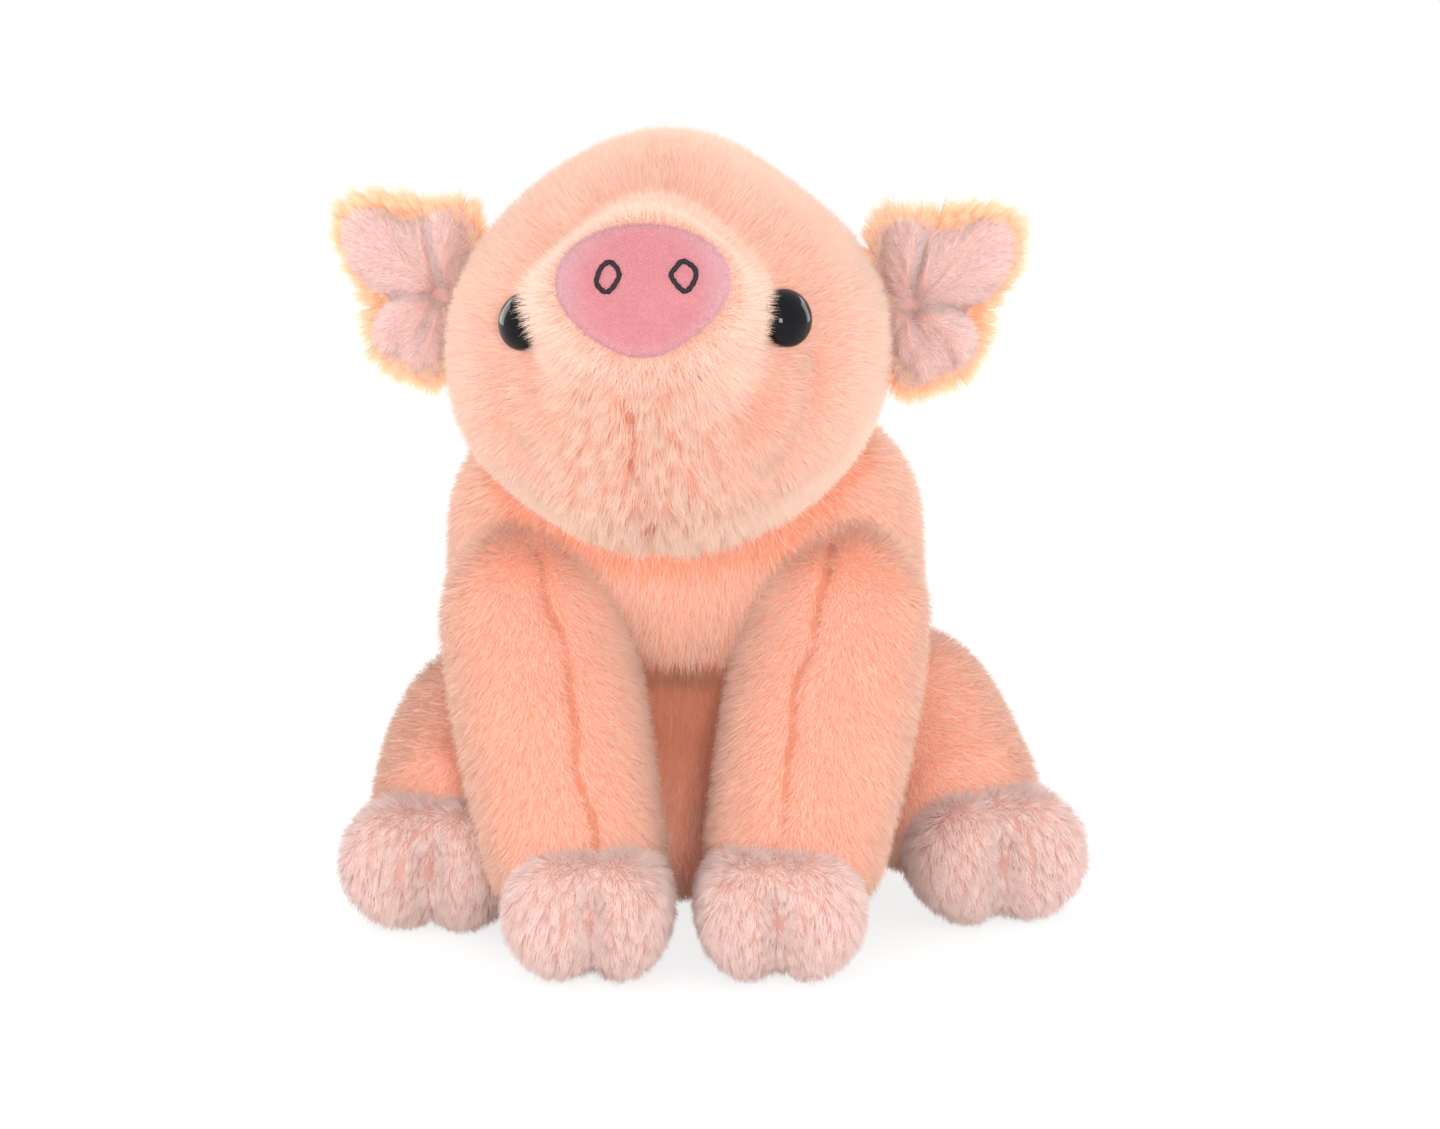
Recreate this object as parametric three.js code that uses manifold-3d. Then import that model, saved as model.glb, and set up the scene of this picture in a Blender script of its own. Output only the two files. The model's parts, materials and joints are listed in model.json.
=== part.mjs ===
// A seated plush pig, in millimetres. The floor is z = 0, the pig looks along -Y, and the origin is
// the middle of the flat patch that it sits on. Left and right are the pig's own.
// Each cloth cover is a hollow shell that is open where it is sewn to the next one, and the stuffing
// inside it is a solid of its own.

import * as THREE from 'three';
import Module from 'manifold-3d';
import { mergeVertices } from 'three/addons/utils/BufferGeometryUtils.js';

const wasm = await Module();
wasm.setup();

// Cloth and sewing
const cover_thickness = 3.6; // knitted backing with the roots of the pile
const sewn_gap = 0.3; // between two covers along the seam that joins them
const stuffing_gap = 0.3; // between a cover and what it is stuffed with
const pressed_depth = 0.5; // how far a stuffed form is pressed flat where it rests
const cut_reach = 400; // a cutting block runs past everything by this much

// Body
const body_height = 162;
const body_half_width = 72;
const body_front = 65;
const body_back = 65;
const body_seat_round = 30;
const body_shoulder_round = 48;
const body_seat_fullness_share = 2.7;
const body_shoulder_fullness_share = 2.4;
// height, half width, reach to the back, reach to the front
const body_ring_shares = [
  [0.0, 0.88, 0.78, 0.78],
  [0.2, 0.97, 0.97, 0.72],
  [0.4, 1.0, 1.0, 0.78],
  [0.58, 1.0, 0.9, 0.93],
  [0.75, 0.98, 0.68, 1.0],
  [0.88, 0.94, 0.5, 0.98],
  [1.0, 0.88, 0.34, 0.9],
];

// Pellet pouch in the seat
const pouch_crown = 30; // height of the middle of its domed top
const pouch_dome_half_width = 84; // the dome is cut off by the sides of the body
const pouch_dome_half_depth = 80;
const pouch_dome_round = 26;

// Head
const head_centre_right = 4; // the head leans this far to the pig's right
const head_centre_forward = 45;
const head_centre_height = 180;
const head_back_length = 56; // from the middle of the skull to its back
const snout_length = 76; // from the middle of the skull to the end of the muzzle
const head_half_width = 64;
const head_crown = 58;
const head_jowl = 66;
const head_back_round = 52;
const head_back_fullness_share = 2.1;
const muzzle_end_round = 8;
const muzzle_end_fullness_share = 3;
const muzzle_end_trim = 1.6; // cut off square for the nose
const crown_narrow_share = 0.2;
const snout_lift_angle = 18.5; // degrees above level
const head_turn_angle = 5.5; // degrees towards the pig's right
// along the head, half width, reach to the crown, reach to the jowl
const head_ring_shares = [
  [0.0, 0.84, 0.84, 0.78],
  [0.2, 0.94, 0.94, 0.91],
  [0.42, 1.0, 1.0, 1.0],
  [0.57, 0.98, 0.93, 0.98],
  [0.66, 0.89, 0.81, 0.92],
  [0.71, 0.76, 0.7, 0.84],
  [0.755, 0.62, 0.6, 0.75],
  [0.8, 0.53, 0.53, 0.65],
  [0.86, 0.48, 0.48, 0.53],
  [0.92, 0.46, 0.45, 0.41],
  [1.0, 0.445, 0.44, 0.3],
];

// Neck seam
const neck_seam_below_centre = 43;
const neck_lean_angle = 23.5; // degrees that the neck leans forward

// Nose
const nose_half_width = 24.5;
const nose_half_height = 18.8;
const nose_thickness = 2.4;
const nose_dome = 1.6;
const nose_chin_narrow_share = 0.16;
const nostril_apart = 21.6; // middle to middle
const nostril_raise = 3.4; // above the middle of the nose
const nostril_half_width = 3.0;
const nostril_half_height = 4.1;
const stitch_radius = 0.75;
const stitch_gap = 0.1;
const stitch_raise = 0.2; // the middle of the thread above the face of the nose
const nostril_pinch_share = 0.16; // drawn in between its four corners

// Eyes
const eye_radius = 8.4;
const eye_dome_height = 6.2;
const eye_rim_thickness = 1.2;
const eye_sunk = 1.0; // the rim sits this deep in the pile
const eye_shank_radius = 2.1;
const eye_shank_length = 13;
const eye_tip_length = 2;
const shank_hole_gap = 0.3;
const eye_along_share = 0.77; // along the head
const eye_raise_angle = 4; // degrees round the head above its sides
const washer_radius = 8;
const washer_thickness = 1.4;
const washer_hub_radius = 3.6;
const washer_hub_height = 2.4;
const washer_rim_clear = 1.3; // the cover curves away under the washer's rim

// Ears
const ear_length = 42;
const ear_height = 54;
const ear_back_thickness = 3.2;
const ear_lining_thickness = 2.2;
const ear_lining_margin = 4.2;
const ear_layer_gap = 0.5;
const ear_cup_depth = 7;
const ear_fold_depth = 3.4;
const ear_root_inset = 6; // how far the root line lies inside the ear's outline
const ear_middle_share = 0.42; // of its length from the root
const ear_side_cup_share = 4; // the edges above and below are cupped more than the tip
const ear_fold_low_share = 0.1; // the fold runs this far below the middle
const ear_fold_narrow_share = 60;
const ear_fold_root_share = 0.6;
const ear_along_share = 0.4;
const ear_raise_left_angle = 8;
const ear_raise_right_angle = 12; // one ear is sewn a little higher
const ear_sweep_angle = 12; // degrees that the ears lean back
const ear_lift_angle = 2; // degrees that the tips rise
const ear_flap_angle = 25; // degrees to each side
// along the ear from its root, and up from the middle of the root
const ear_outline_shares = [
  [-0.05, 0.0],
  [-0.06, 0.4],
  [0.2, 0.51],
  [0.52, 0.53],
  [0.82, 0.51],
  [1.0, 0.37],
  [0.95, 0.15],
  [0.79, -0.04],
  [0.69, -0.22],
  [0.54, -0.39],
  [0.3, -0.48],
  [0.0, -0.41],
];

// Front legs
const front_leg_half_width = 28;
const front_leg_half_depth = 24;
const front_shoulder_apart = 100; // middle to middle at the top
const front_shoulder_forward = 36;
const front_shoulder_height = 121;
const front_foot_apart = 57; // middle to middle at the floor
const front_foot_forward = 88;
const front_foot_height = 13;
const front_leg_top_round = 28;
const front_leg_foot_round = 20;
const front_leg_swing_angle = 35; // degrees forward
const front_hinge_forward = 45; // the upper edge of the shoulder seam
const front_hinge_height = 122;
const front_leg_ring_shares = [
  [0.0, 0.84, 0.9, 0.9],
  [0.25, 0.99, 1.0, 1.0],
  [0.5, 1.03, 1.03, 1.03],
  [0.75, 0.98, 0.98, 0.98],
  [1.0, 0.9, 0.9, 0.9],
];

// Front hooves
const front_hoof_length = 50;
const front_hoof_forward = 93;
const front_hoof_apart = 55;
const front_hoof_up = 18;
const front_hoof_down = 21;
const front_hoof_toe_out = 4;
const front_hoof_half_width = 25.5;

// Hind legs
const hind_leg_half_width = 31;
const hind_leg_half_height = 33;
const hind_leg_length = 86;
const hind_hip_apart = 96;
const hind_hip_back = 32;
const hind_hip_height = 52;
const hind_leg_drop = 30; // how far the foot end lies below the hip end
const hind_leg_hip_round = 30;
const hind_leg_foot_round = 18;
const hind_splay_left_angle = 33;
const hind_splay_right_angle = 19.5;
const hind_leg_swing_angle = 25; // degrees outward
const hind_hinge_apart = 108; // the rear edges of the two hip seams
const hind_hinge_back = 37;
const hind_leg_ring_shares = [
  [0.0, 0.86, 0.86, 0.86],
  [0.3, 1.02, 1.0, 1.0],
  [0.55, 1.0, 0.97, 0.98],
  [0.8, 0.84, 0.8, 0.74],
  [1.0, 0.72, 0.66, 0.6],
];

// Hind hooves
const hind_hoof_length = 42;
const hind_hoof_forward = 2; // past the foot end of the leg
const hind_hoof_up = 19;
const hind_hoof_down = 21;
const hind_toe_out_share = 0.55; // of the leg's splay
const hind_hoof_half_width = 28;

// Toes, one pair to each hoof
const outer_toe_share = 0.73; // of the hoof's width
const inner_toe_share = 0.66;
const hoof_heel_round = 18;
const hoof_toe_round = 17;
const hoof_fullness_share = 2.5;
const hoof_ring_shares = [
  [0.0, 0.86, 0.84, 0.9],
  [0.35, 0.97, 0.98, 0.98],
  [0.65, 1.0, 1.0, 1.0],
  [1.0, 0.96, 0.86, 0.97],
];

// Tail
const tail_radius = 3.2;
const tail_curl_radius = 8;
const tail_curl_pitch = 11;
const tail_height = 66;
const tail_straight_length = 11; // from the rump to where the curl starts
const tail_rooted = 9; // how far the tail starts inside the rump
const tail_wag_angle = 20;
const tail_turns = 1.15;

// Counts
const body_around = 32;
const body_rings = 7;
const head_around = 32;
const head_rings = 14;
const limb_around = 20;
const limb_rings = 4;
const toe_around = 16;
const toe_rings = 2;
const inner_around = 11;
const inner_rings = 3;
const cap_rings = 4;
const inner_cap_rings = 2;
const toe_cap_rings = 3;
const lining_around = 15; // the inner faces of the body and the head
const lining_rings = 5;
const lining_cap_rings = 3;
const pouch_rings = 2;
const eye_dome_rings = 5;
const ear_spokes = 24;
const ear_bands = 4;
const stitch_steps = 16;
const stitch_sides = 5;
const nose_spokes = 24;
const nose_bands = 3;
const round_sides = 18;
const swing_steps = 4;
const probe_share = 0.001; // a short step along the skin, to find which way it faces
const tail_steps = 26;
const tail_sides = 6;

const right_angle = Math.PI / 2;
const full_turn = Math.PI * 2;
const radians = THREE.MathUtils.degToRad;

// A closed mesh of three.js as a solid that can be joined and cut.
function solidOf(geometry) {
  const plain = geometry.clone();
  plain.deleteAttribute('normal');
  plain.deleteAttribute('uv');
  const merged = mergeVertices(plain);
  const mesh = new wasm.Mesh({
    numProp: 3,
    vertProperties: new Float32Array(merged.getAttribute('position').array),
    triVerts: new Uint32Array(merged.index.array),
  });
  return new wasm.Manifold(mesh);
}

function geometryOf(solid) {
  const mesh = solid.getMesh();
  const geometry = new THREE.BufferGeometry();
  geometry.setAttribute('position', new THREE.BufferAttribute(new Float32Array(mesh.vertProperties), 3));
  geometry.setIndex(new THREE.BufferAttribute(new Uint32Array(mesh.triVerts), 1));
  return geometry;
}

// The same geometry placed by a matrix, with its faces kept outward if the matrix mirrors it.
function placed(geometry, matrix) {
  const moved = geometry.clone().applyMatrix4(matrix);
  if (matrix.determinant() < 0) {
    const index = moved.index;
    for (let i = 0; i < index.count; i += 3) {
      const first = index.getX(i);
      index.setX(i, index.getX(i + 1));
      index.setX(i + 1, first);
    }
  }
  return moved;
}

// Reads one column of a table of shares at any place along the form, without corners.
function shareAt(rows, column, along) {
  const last = rows.length - 1;
  const at = Math.min(Math.max(along, rows[0][0]), rows[last][0]);
  let i = 0;
  while (i < last - 1 && at > rows[i + 1][0]) {
    i += 1;
  }
  const slope = (k) => {
    const before = rows[Math.max(k - 1, 0)];
    const after = rows[Math.min(k + 1, last)];
    return (after[column] - before[column]) / (after[0] - before[0]);
  };
  const span = rows[i + 1][0] - rows[i][0];
  const t = (at - rows[i][0]) / span;
  const from = rows[i][column];
  const to = rows[i + 1][column];
  const ease = t * t * (3 - 2 * t);
  const leave = t * (1 - t) * (1 - t) * span * slope(i);
  const arrive = t * t * (t - 1) * span * slope(i + 1);
  return from + (to - from) * ease + leave + arrive;
}

function roundShare(distance, round, fullness) {
  if (distance >= round) {
    return 1;
  }
  const missing = 1 - Math.max(distance, 0) / round;
  return Math.max(1 - missing ** fullness, 0) ** (1 / fullness);
}

// One point of a stuffed form's skin: `distance` runs along the form's +Z, `turn` goes round it from
// +X over +Y, and `grow` moves the whole skin outward, or inward where it is negative.
function skinPoint(form, distance, turn, grow) {
  const along = distance / form.length;
  const wide = form.half_width * shareAt(form.ring_shares, 1, along) + grow;
  const up = form.up * shareAt(form.ring_shares, 2, along) + grow;
  const down = form.down * shareAt(form.ring_shares, 3, along) + grow;
  const start = roundShare(distance + grow, form.start_round + grow, form.start_fullness);
  const end = roundShare(form.length + grow - distance, form.end_round + grow, form.end_fullness);
  const size = start * end;
  const over = Math.max(Math.sin(turn), 0);
  const narrow = 1 - form.narrow * over * over;
  return new THREE.Vector3(
    form.shift + wide * size * Math.cos(turn) * narrow,
    (up - down) / 2 + ((up + down) / 2) * size * Math.sin(turn),
    distance,
  );
}

// A closed stuffed form: rings of points that swell and taper, closed by a round end at each side.
function stuffedForm(form, grow, around, rings, caps) {
  const start = form.start_round + grow;
  const end = form.end_round + grow;
  const distances = [];
  for (let i = 1; i <= caps; i += 1) {
    distances.push(-grow + start * (1 - Math.cos((right_angle * i) / caps)));
  }
  const middle = form.length + 2 * grow - start - end;
  for (let i = 1; i < rings; i += 1) {
    distances.push(-grow + start + (middle * i) / rings);
  }
  for (let i = caps; i >= 1; i -= 1) {
    distances.push(form.length + grow - end * (1 - Math.cos((right_angle * i) / caps)));
  }
  const points = [skinPoint(form, -grow, 0, grow)];
  for (const distance of distances) {
    for (let k = 0; k < around; k += 1) {
      points.push(skinPoint(form, distance, (full_turn * k) / around, grow));
    }
  }
  points.push(skinPoint(form, form.length + grow, 0, grow));
  const triangles = [];
  const lastRing = 1 + (distances.length - 1) * around;
  for (let k = 0; k < around; k += 1) {
    const next = (k + 1) % around;
    triangles.push(0, 1 + next, 1 + k);
    triangles.push(points.length - 1, lastRing + k, lastRing + next);
    for (let r = 0; r < distances.length - 1; r += 1) {
      const low = 1 + r * around;
      const high = low + around;
      triangles.push(low + k, low + next, high + next);
      triangles.push(low + k, high + next, high + k);
    }
  }
  const geometry = new THREE.BufferGeometry().setFromPoints(points);
  geometry.setIndex(triangles);
  return geometry;
}

// A cutting block whose +Z face lies in the XY plane of the matrix.
function blockBelow(matrix) {
  const block = new THREE.BoxGeometry(cut_reach, cut_reach, cut_reach);
  block.translate(0, 0, -cut_reach / 2);
  return solidOf(placed(block, matrix));
}

function frameAlong(position, direction, across) {
  const z = direction.clone().normalize();
  const x = across.clone().addScaledVector(z, -across.dot(z)).normalize();
  const y = z.clone().cross(x);
  return new THREE.Matrix4().makeBasis(x, y, z).setPosition(position);
}

function inverseOf(matrix) {
  return matrix.clone().invert();
}

// What a swinging piece meets as it turns, joined into one cutting solid. `shape` is given in the
// frame of the piece; the piece turns about `axis` through `hinge`, from one angle to the other.
function sweptPast(shape, hinge, axis, from_angle, to_angle) {
  const out = new THREE.Matrix4().makeTranslation(-hinge.x, -hinge.y, -hinge.z);
  const home = new THREE.Matrix4().makeTranslation(hinge.x, hinge.y, hinge.z);
  let swept = solidOf(shape);
  for (let i = 0; i <= swing_steps; i += 1) {
    const angle = radians(from_angle + ((to_angle - from_angle) * i) / swing_steps);
    const swing = home.clone().multiply(new THREE.Matrix4().makeRotationAxis(axis, -angle)).multiply(out);
    swept = swept.add(solidOf(placed(shape, swing)));
  }
  return swept;
}

const axis_x = new THREE.Vector3(1, 0, 0);
const axis_y = new THREE.Vector3(0, 1, 0);
const axis_z = new THREE.Vector3(0, 0, 1);

// The floor, as a block that presses each resting form flat.
const floor_block = (matrix) => blockBelow(inverseOf(matrix));

// The stuffed forms
const body_form = {
  length: body_height,
  half_width: body_half_width,
  up: body_back,
  down: body_front,
  start_round: body_seat_round,
  end_round: body_shoulder_round,
  start_fullness: body_seat_fullness_share,
  end_fullness: body_shoulder_fullness_share,
  ring_shares: body_ring_shares,
  narrow: 0,
  shift: 0,
};
const body_frame = new THREE.Matrix4().makeTranslation(0, 0, -pressed_depth);

const head_form = {
  length: head_back_length + snout_length,
  half_width: head_half_width,
  up: head_crown,
  down: head_jowl,
  start_round: head_back_round,
  end_round: muzzle_end_round,
  start_fullness: head_back_fullness_share,
  end_fullness: muzzle_end_fullness_share,
  ring_shares: head_ring_shares,
  narrow: crown_narrow_share,
  shift: 0,
};
const head_centre = new THREE.Vector3(-head_centre_right, -head_centre_forward, head_centre_height);
const neck_axis = axis_z.clone().applyAxisAngle(axis_x, radians(neck_lean_angle));
const neck_point = head_centre.clone().addScaledVector(neck_axis, -neck_seam_below_centre);
const snout_direction = axis_y.clone().negate().applyAxisAngle(axis_x, -radians(snout_lift_angle));
const head_level = frameAlong(head_centre, snout_direction, axis_x);
const head_frame = head_level.clone();
head_frame.multiply(new THREE.Matrix4().makeRotationY(-radians(head_turn_angle)));
head_frame.multiply(new THREE.Matrix4().makeTranslation(0, 0, -head_back_length));
const neck_frame = frameAlong(neck_point, neck_axis, axis_x);

// A cover is the outer skin less the inner skin; its stuffing is the inner skin, a little smaller.
function coverAndStuffing(form, around, rings) {
  const inside = -cover_thickness;
  const outer = solidOf(stuffedForm(form, 0, around, rings, cap_rings));
  const lining = (grow) => stuffedForm(form, grow, lining_around, lining_rings, lining_cap_rings);
  const inner = solidOf(lining(inside));
  const stuffing = solidOf(lining(inside - stuffing_gap));
  return { outer, inner, stuffing };
}

const cloth = (color) => new THREE.MeshStandardMaterial({ color, roughness: 0.95, metalness: 0 });
const peach = 0xf6b394;
const pale_peach = 0xf9c3a8;
const hoof_pink = 0xdcb6ac;
const lining_pink = 0xdcb7ae;
const nose_pink = 0xe6989f;
const thread_dark = 0x2d1e26;
const stuffing_white = 0xf2f0ea;
const eye_black = 0x0b0b0d;
const washer_white = 0xe8e4dc;

function named(name, solid, material) {
  const mesh = new THREE.Mesh(geometryOf(solid), material);
  mesh.name = name;
  return mesh;
}

function groupAt(matrix, meshes) {
  const group = new THREE.Group();
  matrix.decompose(group.position, group.quaternion, group.scale);
  group.add(...meshes);
  return group;
}

// Body: cover, stuffing and a pouch of pellets low in the seat
const body_parts = coverAndStuffing(body_form, body_around, body_rings);
const above_neck = (gap) => {
  const raised = neck_frame.clone().multiply(new THREE.Matrix4().makeTranslation(0, 0, -gap));
  const upside_down = raised.multiply(new THREE.Matrix4().makeRotationX(Math.PI));
  return blockBelow(inverseOf(body_frame).multiply(upside_down));
};
const pouch_form = {
  length: pouch_crown,
  half_width: pouch_dome_half_width,
  up: pouch_dome_half_depth,
  down: pouch_dome_half_depth,
  start_round: stuffing_gap,
  end_round: pouch_dome_round,
  start_fullness: body_seat_fullness_share,
  end_fullness: body_seat_fullness_share,
  ring_shares: [[0, 1, 1, 1], [1, 1, 1, 1]],
  narrow: 0,
  shift: 0,
};
const pouchDome = (grow) => solidOf(
  stuffedForm(pouch_form, grow, inner_around, pouch_rings, inner_cap_rings),
);
const body_floor = floor_block(body_frame);
const raised_floor = (by) => {
  const lifted = new THREE.Matrix4().makeTranslation(0, 0, by);
  return blockBelow(inverseOf(body_frame).multiply(lifted));
};
const body_cover = body_parts.outer
  .subtract(body_parts.inner.subtract(raised_floor(cover_thickness)))
  .subtract(body_floor)
  .subtract(above_neck(sewn_gap / 2));
const packed_body = body_parts.stuffing.subtract(raised_floor(cover_thickness + stuffing_gap));
const pellet_pouch = packed_body.intersect(pouchDome(0));
const body_filling = packed_body.subtract(pouchDome(stuffing_gap)).subtract(above_neck(sewn_gap / 2));
const body_group = groupAt(body_frame, [
  named('body_cover', body_cover, cloth(peach)),
  named('body_filling', body_filling, cloth(stuffing_white)),
  named('pellet_pouch', pellet_pouch, cloth(stuffing_white)),
]);

// Head: cover with the muzzle drawn out of it, and its stuffing
const head_parts = coverAndStuffing(head_form, head_around, head_rings);
const below_neck = (gap) => {
  const raised = neck_frame.clone().multiply(new THREE.Matrix4().makeTranslation(0, 0, gap));
  return blockBelow(inverseOf(head_frame).multiply(raised));
};
const muzzle_end = head_form.length - muzzle_end_trim;
const past_muzzle = (at) => {
  const turned = new THREE.Matrix4().makeTranslation(0, 0, at);
  return blockBelow(turned.multiply(new THREE.Matrix4().makeRotationX(Math.PI)));
};

// Eyes: a glossy dome on a shank through the cover, locked by a washer inside
function eyeFrame(side) {
  const distance = eye_along_share * head_form.length;
  const turn = side > 0 ? radians(eye_raise_angle) : Math.PI - radians(eye_raise_angle);
  const here = skinPoint(head_form, distance, turn, 0);
  const along = skinPoint(head_form, distance + probe_share * head_form.length, turn, 0).sub(here);
  const around = skinPoint(head_form, distance, turn + probe_share * full_turn, 0).sub(here);
  const outward = around.cross(along).normalize();
  return frameAlong(here, outward, axis_y);
}

function revolved(profile) {
  const points = profile.map(([radius, height]) => new THREE.Vector2(radius, height));
  const turned = new THREE.LatheGeometry(points, round_sides);
  return turned.rotateX(right_angle);
}

function eyeSolid() {
  const profile = [[0, -eye_shank_length]];
  profile.push([eye_shank_radius / 2, -eye_shank_length]);
  profile.push([eye_shank_radius, eye_tip_length - eye_shank_length]);
  profile.push([eye_shank_radius, -eye_sunk]);
  profile.push([eye_radius, -eye_sunk]);
  for (let i = 0; i < eye_dome_rings; i += 1) {
    const turn = (right_angle * i) / eye_dome_rings;
    const height = eye_rim_thickness - eye_sunk + eye_dome_height * Math.sin(turn);
    profile.push([eye_radius * Math.cos(turn), height]);
  }
  profile.push([0, eye_rim_thickness - eye_sunk + eye_dome_height]);
  return solidOf(revolved(profile));
}

// The hollow that the eye's rim presses into the pile, with the hole for its shank.
function eyeSocket() {
  const hole = eye_shank_radius + shank_hole_gap;
  const profile = [[0, -eye_shank_length]];
  profile.push([hole, -eye_shank_length]);
  profile.push([hole, -eye_sunk - sewn_gap]);
  profile.push([eye_radius + sewn_gap, -eye_sunk - sewn_gap]);
  profile.push([eye_radius + sewn_gap, eye_dome_height]);
  profile.push([0, eye_dome_height]);
  return solidOf(revolved(profile));
}

// The washer lies flat against the inside of the cover, so it clears the cover's curve at its rim.
const washer_seat = cover_thickness + washer_rim_clear;

function washerSolid() {
  const hole = eye_shank_radius + sewn_gap / 2;
  const profile = [[hole, -washer_seat - washer_hub_height]];
  profile.push([washer_hub_radius, -washer_seat - washer_hub_height]);
  profile.push([washer_hub_radius, -washer_seat - washer_thickness]);
  profile.push([washer_radius, -washer_seat - washer_thickness]);
  profile.push([washer_radius, -washer_seat]);
  profile.push([hole, -washer_seat]);
  profile.push([hole, -washer_seat - washer_hub_height]);
  return solidOf(revolved(profile));
}

// The stuffing stands clear of the washer and of the pressed-in rim of the eye.
function washerPocket() {
  const clear = Math.max(washer_radius, eye_radius) + stuffing_gap;
  const profile = [[0, -eye_shank_length - stuffing_gap]];
  profile.push([clear, -eye_shank_length - stuffing_gap]);
  profile.push([clear, cover_thickness]);
  profile.push([0, cover_thickness]);
  return solidOf(revolved(profile));
}

const eye_frames = { left: eyeFrame(1), right: eyeFrame(-1) };
const inHeadFrame = (solid, matrix) => solidOf(placed(geometryOf(solid), matrix));

let head_cover = head_parts.outer.subtract(head_parts.inner);
let head_filling = head_parts.stuffing.subtract(past_muzzle(muzzle_end - cover_thickness - stuffing_gap));
for (const side of ['left', 'right']) {
  head_cover = head_cover.subtract(inHeadFrame(eyeSocket(), eye_frames[side]));
  head_filling = head_filling.subtract(inHeadFrame(washerPocket(), eye_frames[side]));
}
head_cover = head_cover.subtract(past_muzzle(muzzle_end)).subtract(below_neck(sewn_gap / 2));
head_filling = head_filling.subtract(below_neck(sewn_gap / 2));

const head_meshes = [
  named('head_cover', head_cover, cloth(pale_peach)),
  named('head_filling', head_filling, cloth(stuffing_white)),
];
for (const side of ['left', 'right']) {
  const glossy = new THREE.MeshStandardMaterial({ color: eye_black, roughness: 0.08, metalness: 0 });
  const milky = new THREE.MeshStandardMaterial({ color: washer_white, roughness: 0.5, metalness: 0 });
  head_meshes.push(groupAt(eye_frames[side], [
    named(`eye_${side}`, eyeSolid(), glossy),
    named(`eye_washer_${side}`, washerSolid(), milky),
  ]));
}

// Nose: an egg-shaped velour pad on the muzzle, with two stitched nostrils
const nose_raise = (() => {
  const top = skinPoint(head_form, muzzle_end - muzzle_end_round, right_angle, 0).y;
  const bottom = skinPoint(head_form, muzzle_end - muzzle_end_round, -right_angle, 0).y;
  return (top + bottom) / 2;
})();
const nose_frame = new THREE.Matrix4().makeTranslation(0, nose_raise, muzzle_end + sewn_gap);

function noseEdge(turn, share) {
  const under = Math.max(-Math.sin(turn), 0);
  const narrow = 1 - nose_chin_narrow_share * under * under;
  return [nose_half_width * share * Math.cos(turn) * narrow, nose_half_height * share * Math.sin(turn)];
}

const noseFront = (share) => nose_thickness + nose_dome * (1 - share * share);

// The front of the pad is a low dome whose rim is rounded over to a flat back.
function noseSolid() {
  const bands = [];
  for (let i = 1; i <= nose_bands; i += 1) {
    const share = i / nose_bands;
    const edge = i === nose_bands ? nose_thickness / 2 : noseFront(share);
    bands.push([share, edge]);
  }
  bands.push([bands[bands.length - 2][0], 0]);
  const points = [new THREE.Vector3(0, 0, noseFront(0))];
  for (const [share, height] of bands) {
    for (let k = 0; k < nose_spokes; k += 1) {
      const [x, y] = noseEdge((full_turn * k) / nose_spokes, share);
      points.push(new THREE.Vector3(x, y, height));
    }
  }
  points.push(new THREE.Vector3(0, 0, 0));
  const triangles = [];
  const back = points.length - 1;
  for (let k = 0; k < nose_spokes; k += 1) {
    const next = (k + 1) % nose_spokes;
    triangles.push(0, 1 + k, 1 + next);
    triangles.push(back, back - nose_spokes + next, back - nose_spokes + k);
    for (let r = 0; r < bands.length - 1; r += 1) {
      const inner = 1 + r * nose_spokes;
      const outer = inner + nose_spokes;
      triangles.push(inner + k, outer + k, outer + next);
      triangles.push(inner + k, outer + next, inner + next);
    }
  }
  const geometry = new THREE.BufferGeometry().setFromPoints(points);
  geometry.setIndex(triangles);
  return solidOf(geometry);
}

// A nostril is a closed line of satin stitch, pointed at the top and the bottom.
function nostrilSolid(side, grow) {
  const radius = stitch_radius + grow;
  const points = [];
  for (let i = 0; i < stitch_steps; i += 1) {
    const turn = (full_turn * i) / stitch_steps;
    const reach = 1 - nostril_pinch_share * Math.abs(Math.sin(2 * turn));
    const x = (side * nostril_apart) / 2 + nostril_half_width * reach * Math.cos(turn);
    const y = nostril_raise + nostril_half_height * reach * Math.sin(turn);
    const share = Math.hypot(x / nose_half_width, y / nose_half_height);
    points.push(new THREE.Vector3(x, y, noseFront(share) + stitch_raise));
  }
  const rings = [];
  for (let i = 0; i < stitch_steps; i += 1) {
    const before = points[(i + stitch_steps - 1) % stitch_steps];
    const after = points[(i + 1) % stitch_steps];
    const along = after.clone().sub(before).normalize();
    const sideways = along.clone().cross(axis_z).normalize();
    for (let k = 0; k < stitch_sides; k += 1) {
      const turn = (full_turn * k) / stitch_sides;
      const point = points[i].clone().addScaledVector(sideways, radius * Math.cos(turn));
      rings.push(point.addScaledVector(axis_z, radius * Math.sin(turn)));
    }
  }
  const triangles = [];
  for (let i = 0; i < stitch_steps; i += 1) {
    const here = i * stitch_sides;
    const there = ((i + 1) % stitch_steps) * stitch_sides;
    for (let k = 0; k < stitch_sides; k += 1) {
      const next = (k + 1) % stitch_sides;
      triangles.push(here + k, there + k, there + next);
      triangles.push(here + k, there + next, here + next);
    }
  }
  const geometry = new THREE.BufferGeometry().setFromPoints(rings);
  geometry.setIndex(triangles);
  return solidOf(geometry);
}

const nose_pad = noseSolid().subtract(nostrilSolid(1, stitch_gap)).subtract(nostrilSolid(-1, stitch_gap));
head_meshes.push(groupAt(nose_frame, [
  named('nose_pad', nose_pad, cloth(nose_pink)),
  named('nostril_stitch_left', nostrilSolid(1, 0), cloth(thread_dark)),
  named('nostril_stitch_right', nostrilSolid(-1, 0), cloth(thread_dark)),
]));

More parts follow.
